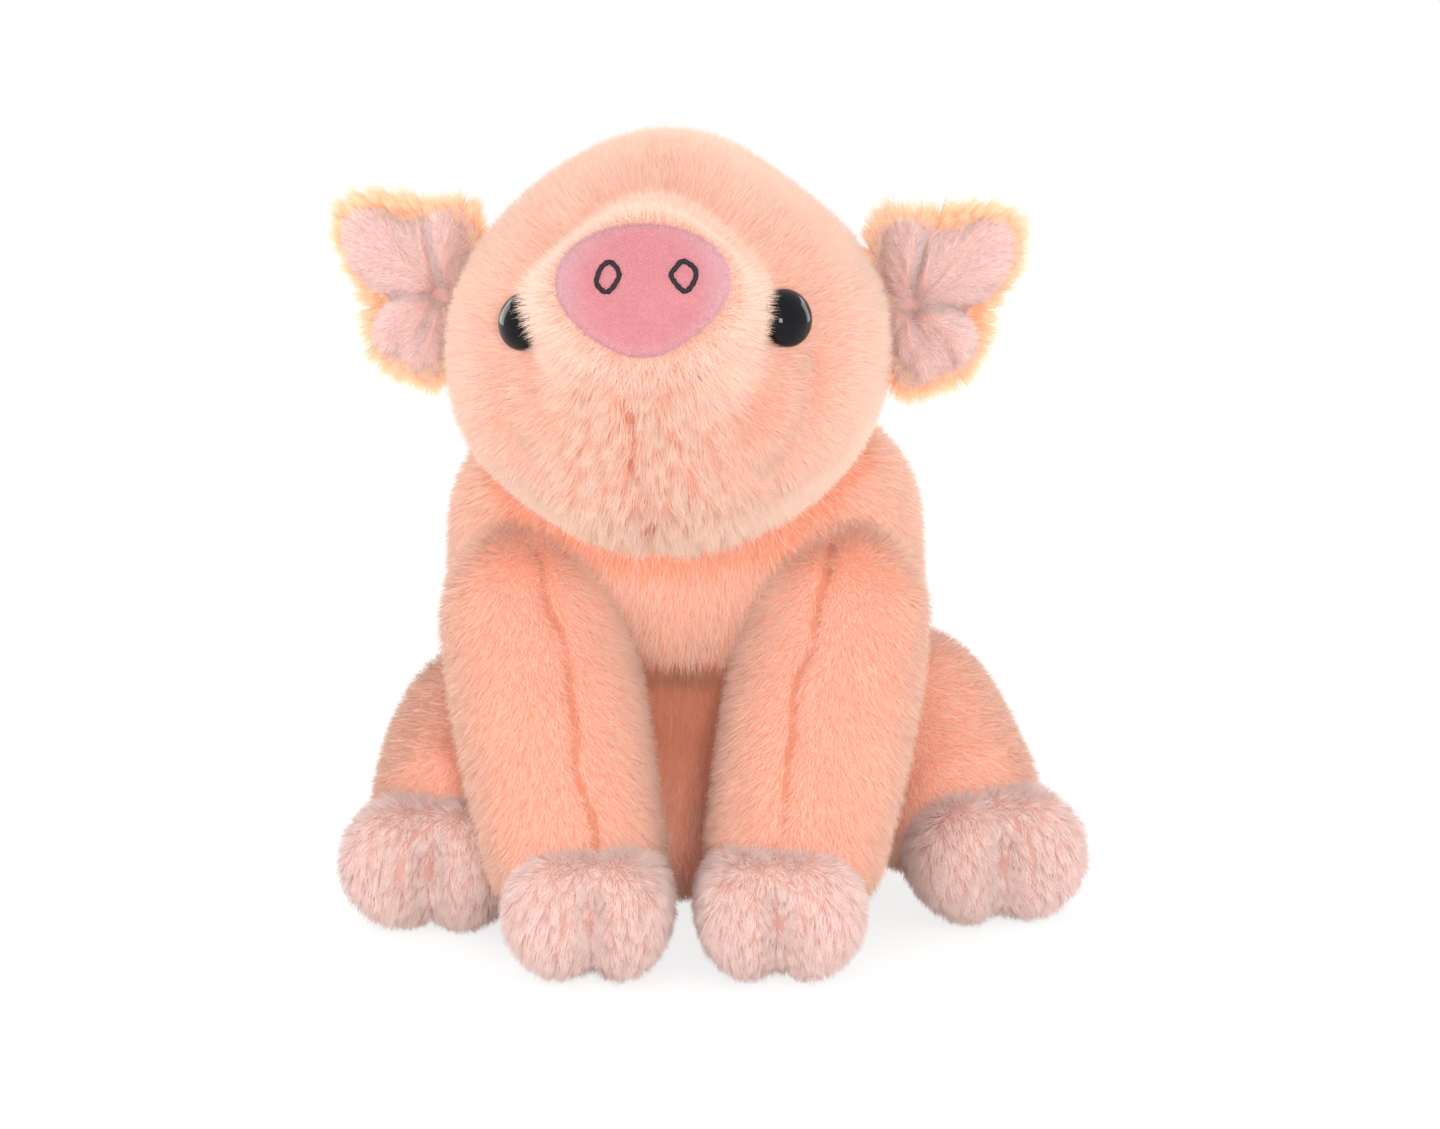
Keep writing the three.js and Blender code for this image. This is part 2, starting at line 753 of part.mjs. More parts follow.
// Ears: a plush back and a satin lining, two cupped leaves sewn into the side of the head
const ear_outline = new THREE.CatmullRomCurve3(
  ear_outline_shares.map(([along, up]) => new THREE.Vector3(along * ear_length, up * ear_height, 0)),
  true,
);
const ear_middle = new THREE.Vector3(ear_length * ear_middle_share, 0, 0);

// A point on the cupped sheet that both layers follow, `layer` in front of it.
function earPoint(edge, share, layer) {
  const flat = ear_middle.clone().lerp(edge, share);
  const away = flat.clone().sub(ear_middle);
  const across = away.y / ear_height;
  const along = away.x / ear_length;
  const cup = ear_cup_depth * (ear_side_cup_share * across * across + along * along);
  const from_fold = (across + ear_fold_low_share) ** 2;
  const ridge = Math.exp(-from_fold * ear_fold_narrow_share);
  const fold = ear_fold_depth * ridge * (ear_fold_root_share + along);
  return new THREE.Vector3(flat.x, flat.y, cup - fold + layer);
}

function earLayer(margin, low, high) {
  const edges = [];
  for (let k = 0; k < ear_spokes; k += 1) {
    const edge = ear_outline.getPointAt(k / ear_spokes);
    const away = edge.clone().sub(ear_middle);
    const shorter = edge.x < ear_root_inset ? 0 : margin;
    edges.push(ear_middle.clone().addScaledVector(away, 1 - shorter / away.length()));
  }
  const points = [];
  for (const layer of [high, low]) {
    points.push(earPoint(ear_middle, 0, layer));
    for (let r = 1; r <= ear_bands; r += 1) {
      for (const edge of edges) {
        points.push(earPoint(edge, r / ear_bands, layer));
      }
    }
  }
  const side = 1 + ear_bands * ear_spokes;
  const triangles = [];
  for (let k = 0; k < ear_spokes; k += 1) {
    const next = (k + 1) % ear_spokes;
    triangles.push(0, 1 + next, 1 + k);
    triangles.push(side, side + 1 + k, side + 1 + next);
    for (let r = 0; r < ear_bands - 1; r += 1) {
      const inner = 1 + r * ear_spokes;
      const outer = inner + ear_spokes;
      triangles.push(inner + k, inner + next, outer + next);
      triangles.push(inner + k, outer + next, outer + k);
      triangles.push(side + inner + k, side + outer + next, side + inner + next);
      triangles.push(side + inner + k, side + outer + k, side + outer + next);
    }
    const rim = 1 + (ear_bands - 1) * ear_spokes;
    triangles.push(rim + k, rim + next, side + rim + next);
    triangles.push(rim + k, side + rim + next, side + rim + k);
  }
  const geometry = new THREE.BufferGeometry().setFromPoints(points);
  geometry.setIndex(triangles);
  return geometry;
}

function earFrame(side) {
  const distance = ear_along_share * head_form.length;
  const turn = radians(side > 0 ? ear_raise_left_angle : ear_raise_right_angle);
  const root = skinPoint(head_form, distance, turn, 0);
  const outward = new THREE.Vector3(Math.cos(turn), Math.sin(turn), 0);
  outward.applyAxisAngle(axis_y, radians(ear_sweep_angle));
  outward.applyAxisAngle(axis_z, -radians(ear_lift_angle));
  const upward = axis_y.clone().addScaledVector(outward, -outward.y).normalize();
  const forward = outward.clone().cross(upward);
  const frame = new THREE.Matrix4().makeBasis(outward, upward, forward).setPosition(root);
  const mirror = new THREE.Matrix4().makeScale(side, 1, 1);
  return mirror.multiply(frame);
}

// The head as the flapping ear meets it; the ear hinges on its own root line.
function headPastEar(frame) {
  const grown = stuffedForm(head_form, sewn_gap, head_around, head_rings, cap_rings);
  const near_ear = placed(grown, inverseOf(frame));
  return sweptPast(near_ear, new THREE.Vector3(), axis_y, -ear_flap_angle, ear_flap_angle);
}

for (const [side, sign] of [['left', 1], ['right', -1]]) {
  const frame = earFrame(sign);
  const head = headPastEar(frame);
  const back = solidOf(earLayer(0, -ear_back_thickness, -ear_layer_gap / 2)).subtract(head);
  const lining = solidOf(
    earLayer(ear_lining_margin, ear_layer_gap / 2, ear_lining_thickness),
  ).subtract(head);
  head_meshes.push(groupAt(frame, [
    named(`ear_back_${side}`, back, cloth(pale_peach)),
    named(`ear_lining_${side}`, lining, cloth(lining_pink)),
  ]));
}
const head_group = groupAt(head_frame, head_meshes);

// Legs: a sleeve sewn to the body, a two-toed hoof cover sewn to the sleeve, one stuffing
const limbForm = (sizes) => ({
  start_fullness: 2,
  end_fullness: 2,
  narrow: 0,
  shift: 0,
  ...sizes,
});

function toeForm(hoof, share, shift) {
  return limbForm({
    length: hoof.length,
    up: hoof.up,
    down: hoof.down,
    half_width: hoof.half_width * share,
    shift,
    start_round: hoof_heel_round,
    end_round: hoof_toe_round,
    start_fullness: hoof_fullness_share,
    end_fullness: hoof_fullness_share,
    ring_shares: hoof_ring_shares,
  });
}

function legMeshes({ name, sign, leg_form, leg_frame, hoof_frame, hoof, hinge, axis, angle }) {
  const to_leg = inverseOf(leg_frame);
  const outer_shift = sign * hoof.half_width * (1 - outer_toe_share);
  const inner_shift = sign * hoof.half_width * (inner_toe_share - 1);
  const toes = [
    toeForm(hoof, outer_toe_share, outer_shift),
    toeForm(hoof, inner_toe_share, inner_shift),
  ];
  const hoof_place = to_leg.clone().multiply(hoof_frame);
  const hoofSolid = (grow, around, rings, caps) => {
    const [outer, inner] = toes.map((toe) => solidOf(
      placed(stuffedForm(toe, grow, around, rings, caps), hoof_place),
    ));
    return outer.add(inner);
  };
  const legSolid = (grow, around, rings, caps) => solidOf(stuffedForm(leg_form, grow, around, rings, caps));
  const to_body = to_leg.clone().multiply(body_frame);
  const bodyShape = (grow) => placed(
    stuffedForm(body_form, grow, body_around, body_rings, cap_rings),
    to_body,
  );
  const bodySolid = (grow) => solidOf(bodyShape(grow));
  const hinge_here = hinge.clone().applyMatrix4(to_leg);
  const axis_here = axis.clone().transformDirection(to_leg);
  const body_past_leg = sweptPast(bodyShape(sewn_gap), hinge_here, axis_here, 0, angle);
  const floorSolid = (raise) => blockBelow(
    to_leg.clone().multiply(new THREE.Matrix4().makeTranslation(0, 0, raise)),
  );
  const inside = -cover_thickness;
  const packed = inside - stuffing_gap;
  const leg_inner = legSolid(inside, inner_around, inner_rings, inner_cap_rings);
  const cavity = leg_inner.subtract(bodySolid(sewn_gap + cover_thickness));
  const sleeve = legSolid(0, limb_around, limb_rings, cap_rings)
    .subtract(cavity)
    .subtract(body_past_leg)
    .subtract(hoofSolid(sewn_gap, toe_around, toe_rings, toe_cap_rings));
  const hoof_inner = hoofSolid(inside, inner_around, toe_rings, inner_cap_rings);
  const hoof_cover = hoofSolid(0, toe_around, toe_rings, toe_cap_rings)
    .subtract(hoof_inner.add(leg_inner).subtract(floorSolid(cover_thickness)))
    .subtract(body_past_leg)
    .subtract(floorSolid(0));
  const filling = legSolid(packed, inner_around, inner_rings, inner_cap_rings)
    .add(hoofSolid(packed, inner_around, toe_rings, inner_cap_rings))
    .subtract(bodySolid(sewn_gap + cover_thickness + stuffing_gap))
    .subtract(floorSolid(cover_thickness + stuffing_gap));
  return groupAt(leg_frame, [
    named(`${name}_leg_cover`, sleeve, cloth(peach)),
    named(`${name}_hoof_cover`, hoof_cover, cloth(hoof_pink)),
    named(`${name}_leg_filling`, filling, cloth(stuffing_white)),
  ]);
}

// A hoof lies level, with its toes forward and a little out.
function hoofFrame(x, forward, height, length, toe_out) {
  const ahead = axis_y.clone().negate().applyAxisAngle(axis_z, toe_out);
  const heel = new THREE.Vector3(x, -forward, height).addScaledVector(ahead, -length / 2);
  return frameAlong(heel, ahead, axis_x);
}

const front_leg_from = (sign) => new THREE.Vector3(
  (sign * front_shoulder_apart) / 2,
  -front_shoulder_forward,
  front_shoulder_height,
);
const front_leg_to = (sign) => new THREE.Vector3(
  (sign * front_foot_apart) / 2,
  -front_foot_forward,
  front_foot_height,
);
const front_leg_groups = [['left', 1], ['right', -1]].map(([side, sign]) => {
  const from = front_leg_from(sign);
  const way = front_leg_to(sign).sub(from);
  const leg_form = limbForm({
    length: way.length(),
    half_width: front_leg_half_width,
    up: front_leg_half_depth,
    down: front_leg_half_depth,
    start_round: front_leg_top_round,
    end_round: front_leg_foot_round,
    ring_shares: front_leg_ring_shares,
  });
  return legMeshes({
    name: `front_${side}`,
    sign,
    leg_form,
    leg_frame: frameAlong(from, way, axis_x),
    hoof_frame: hoofFrame(
      (sign * front_hoof_apart) / 2,
      front_hoof_forward,
      front_hoof_down - pressed_depth,
      front_hoof_length,
      sign * radians(front_hoof_toe_out),
    ),
    hoof: {
      length: front_hoof_length,
      half_width: front_hoof_half_width,
      up: front_hoof_up,
      down: front_hoof_down,
    },
    hinge: new THREE.Vector3(0, -front_hinge_forward, front_hinge_height),
    axis: axis_x.clone().negate(),
    angle: front_leg_swing_angle,
  });
});

const hind_leg_groups = [
  ['left', 1, hind_splay_left_angle],
  ['right', -1, hind_splay_right_angle],
].map(([side, sign, splay_angle]) => {
  const splay = sign * radians(splay_angle);
  const from = new THREE.Vector3((sign * hind_hip_apart) / 2, hind_hip_back, hind_hip_height);
  const level = Math.sqrt(hind_leg_length ** 2 - hind_leg_drop ** 2);
  const ahead = axis_y.clone().negate().applyAxisAngle(axis_z, splay);
  const way = ahead.clone().multiplyScalar(level).addScaledVector(axis_z, -hind_leg_drop);
  const foot = from.clone().add(way);
  const leg_form = limbForm({
    length: hind_leg_length,
    half_width: hind_leg_half_width,
    up: hind_leg_half_height,
    down: hind_leg_half_height,
    start_round: hind_leg_hip_round,
    end_round: hind_leg_foot_round,
    ring_shares: hind_leg_ring_shares,
  });
  return legMeshes({
    name: `hind_${side}`,
    sign,
    leg_form,
    leg_frame: frameAlong(from, way, axis_x),
    hoof_frame: hoofFrame(
      foot.x,
      hind_hoof_forward - foot.y,
      hind_hoof_down - pressed_depth,
      hind_hoof_length,
      splay * hind_toe_out_share,
    ),
    hoof: {
      length: hind_hoof_length,
      half_width: hind_hoof_half_width,
      up: hind_hoof_up,
      down: hind_hoof_down,
    },
    hinge: new THREE.Vector3((sign * hind_hinge_apart) / 2, hind_hinge_back, 0),
    axis: axis_z.clone().multiplyScalar(sign),
    angle: hind_leg_swing_angle,
  });
});

// Tail: a thin rolled tube that curls once, sewn into the rump
class TailCurve extends THREE.Curve {
  getPoint(t, target = new THREE.Vector3()) {
    const straight = tail_rooted + tail_straight_length;
    const curl = full_turn * tail_curl_radius * tail_turns;
    const gone = t * (straight + curl);
    if (gone <= straight) {
      return target.set(0, gone - tail_rooted, 0);
    }
    const turn = (gone - straight) / tail_curl_radius;
    return target.set(
      (tail_curl_pitch * turn) / full_turn,
      tail_straight_length + tail_curl_radius * Math.sin(turn),
      tail_curl_radius * (1 - Math.cos(turn)),
    );
  }
}
const tail_section = new THREE.Shape();
tail_section.absarc(0, 0, tail_radius, 0, full_turn);
const tail_tube = new THREE.ExtrudeGeometry(tail_section, {
  steps: tail_steps,
  curveSegments: tail_sides / 2,
  extrudePath: new TailCurve(),
  bevelEnabled: false,
});
const rump = skinPoint(body_form, tail_height + pressed_depth, right_angle, 0);
const tail_frame = new THREE.Matrix4().makeTranslation(0, rump.y, tail_height);

function bodyPastTail() {
  const grown = stuffedForm(body_form, sewn_gap, body_around, body_rings, cap_rings);
  const near_tail = placed(grown, inverseOf(tail_frame).multiply(body_frame));
  return sweptPast(near_tail, new THREE.Vector3(), axis_z, -tail_wag_angle, tail_wag_angle);
}

const tail_group = groupAt(tail_frame, [
  named('tail', solidOf(tail_tube).subtract(bodyPastTail()), cloth(peach)),
]);

const pig = new THREE.Group();
pig.add(body_group, head_group, ...front_leg_groups, ...hind_leg_groups, tail_group);

export default pig;
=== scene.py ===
"""A seated plush pig, in metres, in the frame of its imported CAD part.

Each piece is made in the order that a maker sews and stuffs the toy. Sizes are in millimetres and
are brought to metres where a mesh is made.
"""

import json
import math

import bpy
import numpy as np
from mathutils import Matrix

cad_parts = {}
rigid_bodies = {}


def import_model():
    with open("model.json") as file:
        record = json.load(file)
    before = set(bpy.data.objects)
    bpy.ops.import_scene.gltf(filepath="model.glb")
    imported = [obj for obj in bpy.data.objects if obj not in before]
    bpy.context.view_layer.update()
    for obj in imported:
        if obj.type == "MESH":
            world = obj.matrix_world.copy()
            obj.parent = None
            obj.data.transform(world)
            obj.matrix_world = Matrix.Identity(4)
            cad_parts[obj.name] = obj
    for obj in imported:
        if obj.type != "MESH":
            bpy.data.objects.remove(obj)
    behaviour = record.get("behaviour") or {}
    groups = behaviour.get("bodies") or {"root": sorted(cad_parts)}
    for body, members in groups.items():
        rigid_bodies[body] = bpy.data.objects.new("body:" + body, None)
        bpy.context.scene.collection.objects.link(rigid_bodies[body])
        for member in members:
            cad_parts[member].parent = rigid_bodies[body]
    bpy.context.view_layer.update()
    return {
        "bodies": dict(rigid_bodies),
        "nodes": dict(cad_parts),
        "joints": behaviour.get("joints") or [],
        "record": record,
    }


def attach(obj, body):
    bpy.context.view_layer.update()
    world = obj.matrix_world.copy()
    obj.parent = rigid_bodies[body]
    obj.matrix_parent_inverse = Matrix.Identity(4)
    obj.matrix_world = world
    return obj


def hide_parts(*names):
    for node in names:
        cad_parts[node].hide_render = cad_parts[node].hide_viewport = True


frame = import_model()

# Body
# The body is a bag of knitted plush, gathered at the seat and the neck and stuffed with fibre over
# a pouch of pellets. Its chest panel bulges over the belly between the front legs.

MM = 0.001
PILE_RISE = 3.0  # the pile stands this far off the knitted cloth
FLOOR_CLEAR = 1.0  # no hair of the body or a leg is rooted lower than this
HAIRS_IN_ONE = 66000  # hairs in one mesh; a larger coat is parted into locks
THROUGH_SHARE = 0.3  # share of the light that goes through a fibre
CELL_MIX = np.array([73856093, 19349663, 83492791])  # scatters the tufts
FULL_TURN = 2 * math.pi
AXIS_X, AXIS_Y, AXIS_Z = np.eye(3)

body_height = 162.0
body_half_width = 72.0
body_depth = 65.0
body_rounds = (30.0, 48.0)  # how far the seat and the neck take to round off
body_fullness = (2.7, 2.4)
body_rings = [
    [0.0, 0.88, 0.78, 0.78],
    [0.2, 0.97, 0.97, 0.72],
    [0.4, 1.0, 1.0, 0.78],
    [0.58, 1.0, 0.9, 0.93],
    [0.75, 0.98, 0.68, 1.0],
    [0.88, 0.94, 0.5, 0.98],
    [1.0, 0.88, 0.34, 0.9],
]
seat_pressed = 0.5
belly_set_back = 8.0
chest_edge = 82.0  # the chest panel ends at this height
chest_roll = 9.0  # and rolls under over this much
belly_front = 20.0  # the belly is set back, and its pile painted with shade, ahead of this
neck_middle = (-4.0, -44.0, 176.0)
neck_reach = 66.0  # painted shade darkens the pile round the neck up to this far from its middle
body_hair = (5.4, 0.29)  # length and width
body_dense = 2.6  # hairs to a square millimetre

# each plush's deep colour, at the roots and on the bare skin under them, is painted shade for the
# depth of the pile
peach_deep = (1.0, 0.43, 0.29)
peach_tip = (1.0, 0.72, 0.59)
cream_edge = (1.0, 0.86, 0.7)
peach_edge = (1.0, 0.78, 0.6)
# painted shade: darker, redder plush for the belly between the front legs and the ring round the
# neck
painted_shade_deep = (1.0, 0.3, 0.16)
painted_shade_tip = (1.0, 0.5, 0.33)


def length_of(vectors):
    """Lengths of vectors."""
    return np.linalg.norm(vectors, axis=-1)


def unit(vectors):
    """Vectors of length one."""
    vectors = np.asarray(vectors, float)
    return vectors / np.maximum(length_of(vectors)[..., None], 1e-9)


def ramp(value, start, end):
    """Rises evenly from 0 at the start to 1 at the end, which may be the lower of the two."""
    return np.clip((value - start) / (end - start), 0, 1)


def bump(distance, width):
    """Falls softly from 1 where there is no distance to nearly 0 at twice the width."""
    return np.exp(-((distance / width) ** 2))


def turned(vector, axis, degrees):
    """A vector turned about an axis by the right-hand rule."""
    vector, axis = np.asarray(vector, float), unit(axis)
    cosine, sine = math.cos(math.radians(degrees)), math.sin(math.radians(degrees))
    across = np.cross(axis, vector)
    return vector * cosine + across * sine + axis * (axis @ vector) * (1 - cosine)


def frame_of(position, x, y, z):
    """A 4 by 4 matrix from its place and its three directions."""
    made = np.eye(4)
    made[:3, 0], made[:3, 1], made[:3, 2], made[:3, 3] = x, y, z, position
    return made


def frame_along(position, direction, across):
    """A frame whose Z runs along a direction and whose X keeps close to another."""
    z = unit(direction)
    across = np.asarray(across, float)
    x = unit(across - z * (across @ z))
    return frame_of(position, x, np.cross(z, x), z)


def moved(matrix, points):
    """Points carried from a frame to the part's own."""
    return np.asarray(points) @ matrix[:3, :3].T + matrix[:3, 3]


def moved_back(matrix, points):
    """Points carried from the part's own frame to another."""
    return moved(np.linalg.inv(matrix), points)


def share(rows, column, along):
    """Reads a column of ring shares anywhere along a form, without corners."""
    rows = np.asarray(rows, float)
    place, value = rows[:, 0], rows[:, column]
    last = len(place) - 1
    before = np.maximum(np.arange(last + 1) - 1, 0)
    after = np.minimum(np.arange(last + 1) + 1, last)
    slope = (value[after] - value[before]) / (place[after] - place[before])
    along = np.clip(along, place[0], place[-1])
    ring = np.clip(np.searchsorted(place, along) - 1, 0, last - 1)
    span = place[ring + 1] - place[ring]
    part = (along - place[ring]) / span
    ease = part * part * (3 - 2 * part)
    leave = part * (1 - part) ** 2 * span * slope[ring]
    arrive = part * part * (part - 1) * span * slope[ring + 1]
    return value[ring] + (value[ring + 1] - value[ring]) * ease + leave + arrive


def round_share(distance, rounding, fullness):
    """How far a form has opened at a distance from its round end."""
    missing = np.clip(1 - distance / rounding, 0, 1)
    return np.maximum(1 - missing**fullness, 0) ** (1 / fullness)


class Form:
    """A stuffed form that swells and tapers along the Z of its frame.

    Its sizes are its length, half width, reach up and reach down. Each ring has its place along the
    form and its shares of the last three.
    """

    def __init__(self, frame, sizes, rings, rounds, fullness=(2.0, 2.0), narrow=0.0, shift=0.0):
        self.frame, self.rings = frame, rings
        self.length, self.half_width, self.up, self.down = sizes
        self.start_round, self.end_round = rounds
        self.start_full, self.end_full = fullness
        self.narrow, self.shift = narrow, shift

    def reach(self, distance, grow):
        """Half width, reach up, reach down and opening at a distance along the form."""
        along = distance / self.length
        sizes = enumerate((self.half_width, self.up, self.down), 1)
        wide, up, down = (size * share(self.rings, i, along) + grow for i, size in sizes)
        start = round_share(distance + grow, self.start_round + grow, self.start_full)
        rest = self.length + grow - distance
        end = round_share(rest, self.end_round + grow, self.end_full)
        return wide, up, down, start * end

    def own(self, distance, turn, grow=0.0):
        """Points of the skin in the form's own frame."""
        distance, turn = np.broadcast_arrays(np.asarray(distance, float), np.asarray(turn, float))
        wide, up, down, size = self.reach(distance, grow)
        over = np.maximum(np.sin(turn), 0)
        slim = 1 - self.narrow * over * over
        x = self.shift + wide * size * np.cos(turn) * slim
        y = (up - down) / 2 + (up + down) / 2 * size * np.sin(turn)
        return np.stack([x, y, distance], -1)

    def at(self, distance, turn, grow=0.0):
        """Points of the skin in the part's frame."""
        return moved(self.frame, self.own(distance, turn, grow))

    def deep(self, points, grow=0.0):
        """Roughly how far points lie inside the skin; negative outside."""
        own = moved_back(self.frame, points)
        inner = np.clip(own[:, 2], 0.01 - grow, self.length + grow - 0.01)
        wide, up, down, size = self.reach(inner, grow)
        above = (own[:, 1] - (up - down) / 2) / np.maximum((up + down) / 2 * size, 1e-6)
        slim = 1 - self.narrow * np.clip(above, 0, 1) ** 2
        beside = (own[:, 0] - self.shift) / np.maximum(wide * size * slim, 1e-6)
        radius = np.minimum(wide, (up + down) / 2) * size
        inside = (1 - np.sqrt(beside * beside + above * above)) * radius
        outside_ends = np.maximum(-grow - own[:, 2], own[:, 2] - self.length - grow)
        return np.where(outside_ends > 0, -outside_ends, inside)

    def skin(self, around, along, caps, grow=0.0):
        """Points and faces of the closed skin."""
        start, end = self.start_round + grow, self.end_round + grow
        opening = 1 - np.cos(math.pi / 2 * np.arange(1, caps + 1) / caps)
        middle = self.length + 2 * grow - start - end
        steps = np.arange(1, along) / along
        before, after = -grow + start * opening, (self.length + grow - end * opening)[::-1]
        distance = np.concatenate([before, -grow + start + middle * steps, after])
        rings = self.at(distance[:, None], turns(around), grow).reshape(-1, 3)
        ends = self.at([-grow, self.length + grow], [0.0, 0.0], grow)
        return np.concatenate([rings, ends]), tube_faces(len(distance), around, closed_ends=True)


def turns(count):
    """Turns spread evenly round a circle."""
    return FULL_TURN * np.arange(count) / count


def tube_faces(rings, around, closed_ends=False, ring_loop=False):
    """Faces of a tube of rings; the two end points, if any, come last."""
    here = np.arange(around)
    beyond = (here + 1) % around
    low = np.arange(rings if ring_loop else rings - 1)[:, None] * around
    high = (low + around) % (rings * around)
    made = np.stack([low + here, low + beyond, high + beyond, high + here], -1)
    made = made.reshape(-1, 4).tolist()
    if closed_ends:
        end, top = rings * around, (rings - 1) * around
        made += [(end, (i + 1) % around, i) for i in range(around)]
        made += [(end + 1, top + i, top + (i + 1) % around) for i in range(around)]
    return made


def triangles_of(faces):
    """Each face as triangles."""
    return np.array([(f[0], f[i], f[i + 1]) for f in faces for i in range(1, len(f) - 1)])


def tube_about(line, sideways, other, radii, around):
    """Points of a tube in rings about a line, from its two directions across at each point."""
    wide, high = (radii[:, None] * wave(turns(around)) for wave in (np.cos, np.sin))
    tube = line[:, None] + sideways[:, None] * wide[..., None] + other[:, None] * high[..., None]
    return tube.reshape(-1, 3)


def faced_out(points, faces):
    """The faces of a closed skin, turned to face outward."""
    a, b, c = (points[triangles_of(faces)[:, i]] for i in range(3))
    if np.sum(a * np.cross(b, c)) < 0:
        faces = [tuple(reversed(f)) for f in faces]
    return faces


def point_normals(points, triangles):
    """Smooth normals at the points of a mesh."""
    a, b, c = (points[triangles[:, i]] for i in range(3))
    cross = np.cross(b - a, c - a)
    total = np.zeros_like(points)
    for i in range(3):
        np.add.at(total, triangles[:, i], cross)
    return unit(total)


def line_gap(points, line):
    """Distance from each point to a line of points, and the direction away from it."""
    best = np.full(len(points), 1e9)
    away = np.zeros_like(points)
    for a, b in zip(line[:-1], line[1:]):
        along = b - a
        t = np.clip((points - a) @ along / (along @ along), 0, 1)
        gap = points - (a + t[:, None] * along)
        size = length_of(gap)
        nearer = size < best
        best[nearer] = size[nearer]
        away[nearer] = gap[nearer]
    return best, away


def dented(points, faces, creases=(), lumps=()):
    """Points of a skin, pressed in along its creases and swollen at its lumps.

    A crease is a line with its depth and width, and a lump is a place with its height and width.
    """
    push = np.zeros(len(points))
    for line, depth, width in creases:
        push -= depth * bump(line_gap(points, line)[0], width)
    for place, height, width in lumps:
        push += height * bump(length_of(points - place), width)
    return points + point_normals(points, triangles_of(faces)) * push[:, None]


def placed(name, data):
    """A new object in the scene."""
    made = bpy.data.objects.new(name, data)
    bpy.context.scene.collection.objects.link(made)
    return made


def mesh_object(name, points, faces, material):
    """A smooth mesh object in the part's frame, in metres."""
    mesh = bpy.data.meshes.new(name)
    mesh.from_pydata((np.asarray(points) * MM).tolist(), [], [tuple(f) for f in faces])
    mesh.update()
    mesh.shade_smooth()
    mesh.materials.append(material)
    return placed(name, mesh)


def ripple(points, size, seed):
    """A soft random value from -1 to 1 that changes over about `size`, for many points at once."""
    rng = np.random.default_rng(seed)
    total = np.zeros(len(points))
    for _ in range(5):
        wave = unit(rng.normal(size=3)) * (FULL_TURN / size) * rng.uniform(0.7, 1.5)
        total += np.sin(points @ wave + rng.uniform(0, FULL_TURN))
    return total / 5


def tuft_pull(points, cell, seed):
    """The way from each point to the middle of the tuft that it belongs to."""
    home = np.floor(points / cell).astype(np.int64)
    best = np.full(len(points), 1e9)
    pull = np.zeros_like(points)
    for step in np.ndindex(3, 3, 3):
        c = home + step - 1
        mixed = np.bitwise_xor.reduce(c * CELL_MIX, axis=1) + seed * 7919
        jitter = [((mixed * 2654435761 >> shift) % 1024) / 1023 for shift in (3, 9, 15)]
        way = (c + np.stack(jitter, -1)) * cell - points
        size = length_of(way)
        nearer = size < best
        best[nearer] = size[nearer]
        pull[nearer] = way[nearer]
    return pull


def roots_on(points, faces, per_mm2, rng):
    """Random places on a skin with their normals, so many to a square millimetre."""
    triangles = triangles_of(faces)
    a, b, c = (points[triangles[:, i]] for i in range(3))
    area = length_of(np.cross(b - a, c - a)) / 2
    count = np.floor(area * per_mm2 + rng.random(len(area))).astype(int)
    pick = np.repeat(np.arange(len(area)), count)
    u, v = rng.random(len(pick)), rng.random(len(pick))
    flip = u + v > 1
    u[flip], v[flip] = 1 - u[flip], 1 - v[flip]
    weights = np.stack([1 - u - v, u, v])[:, :, None]
    place, normal = (
        sum(values[triangles[pick, i]] * weights[i] for i in range(3))
        for values in (points, point_normals(points, triangles))
    )
    return place, unit(normal)


def combed(way, stray, roots, rng):
    """How each hair tips over: one way, or its own, straying a little."""
    return way + unit(rng.normal(size=roots.shape)) * stray


def picked(chosen, *columns):
    """The chosen rows of each column."""
    return [column[chosen] for column in columns]


def coat(
    name, body_name, slot, hairs, size, material, rng, toward=0.0, tufts=(3.2, 0.35), chosen=None
):
    """Pile on one piece, riding on a body: one mesh, or several that lie side by side.

    The hairs are their roots, their normals and how far each tips over, along the skin. Their size
    is a length and a width. The light sees them turned toward a way, if one is given. Tufts have a
    size and a share by which their hairs draw together. Only the chosen hairs are made.
    """
    roots, (length, width) = hairs[0], size
    columns = (*hairs, np.broadcast_to(length, len(roots)), np.broadcast_to(toward, roots.shape))
    chosen = np.arange(len(roots)) if chosen is None else np.flatnonzero(chosen)
    order = chosen[np.argsort(roots[chosen, 0], kind="stable")]
    count = max(1, math.ceil(len(order) / HAIRS_IN_ONE))
    for i, part in enumerate(np.array_split(order, count)):
        lock = name if count == 1 else f"{name}_{i + 1}"
        made = pile_object(lock, *picked(part, *columns), width, material, rng, tufts)
        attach(made, body_name)


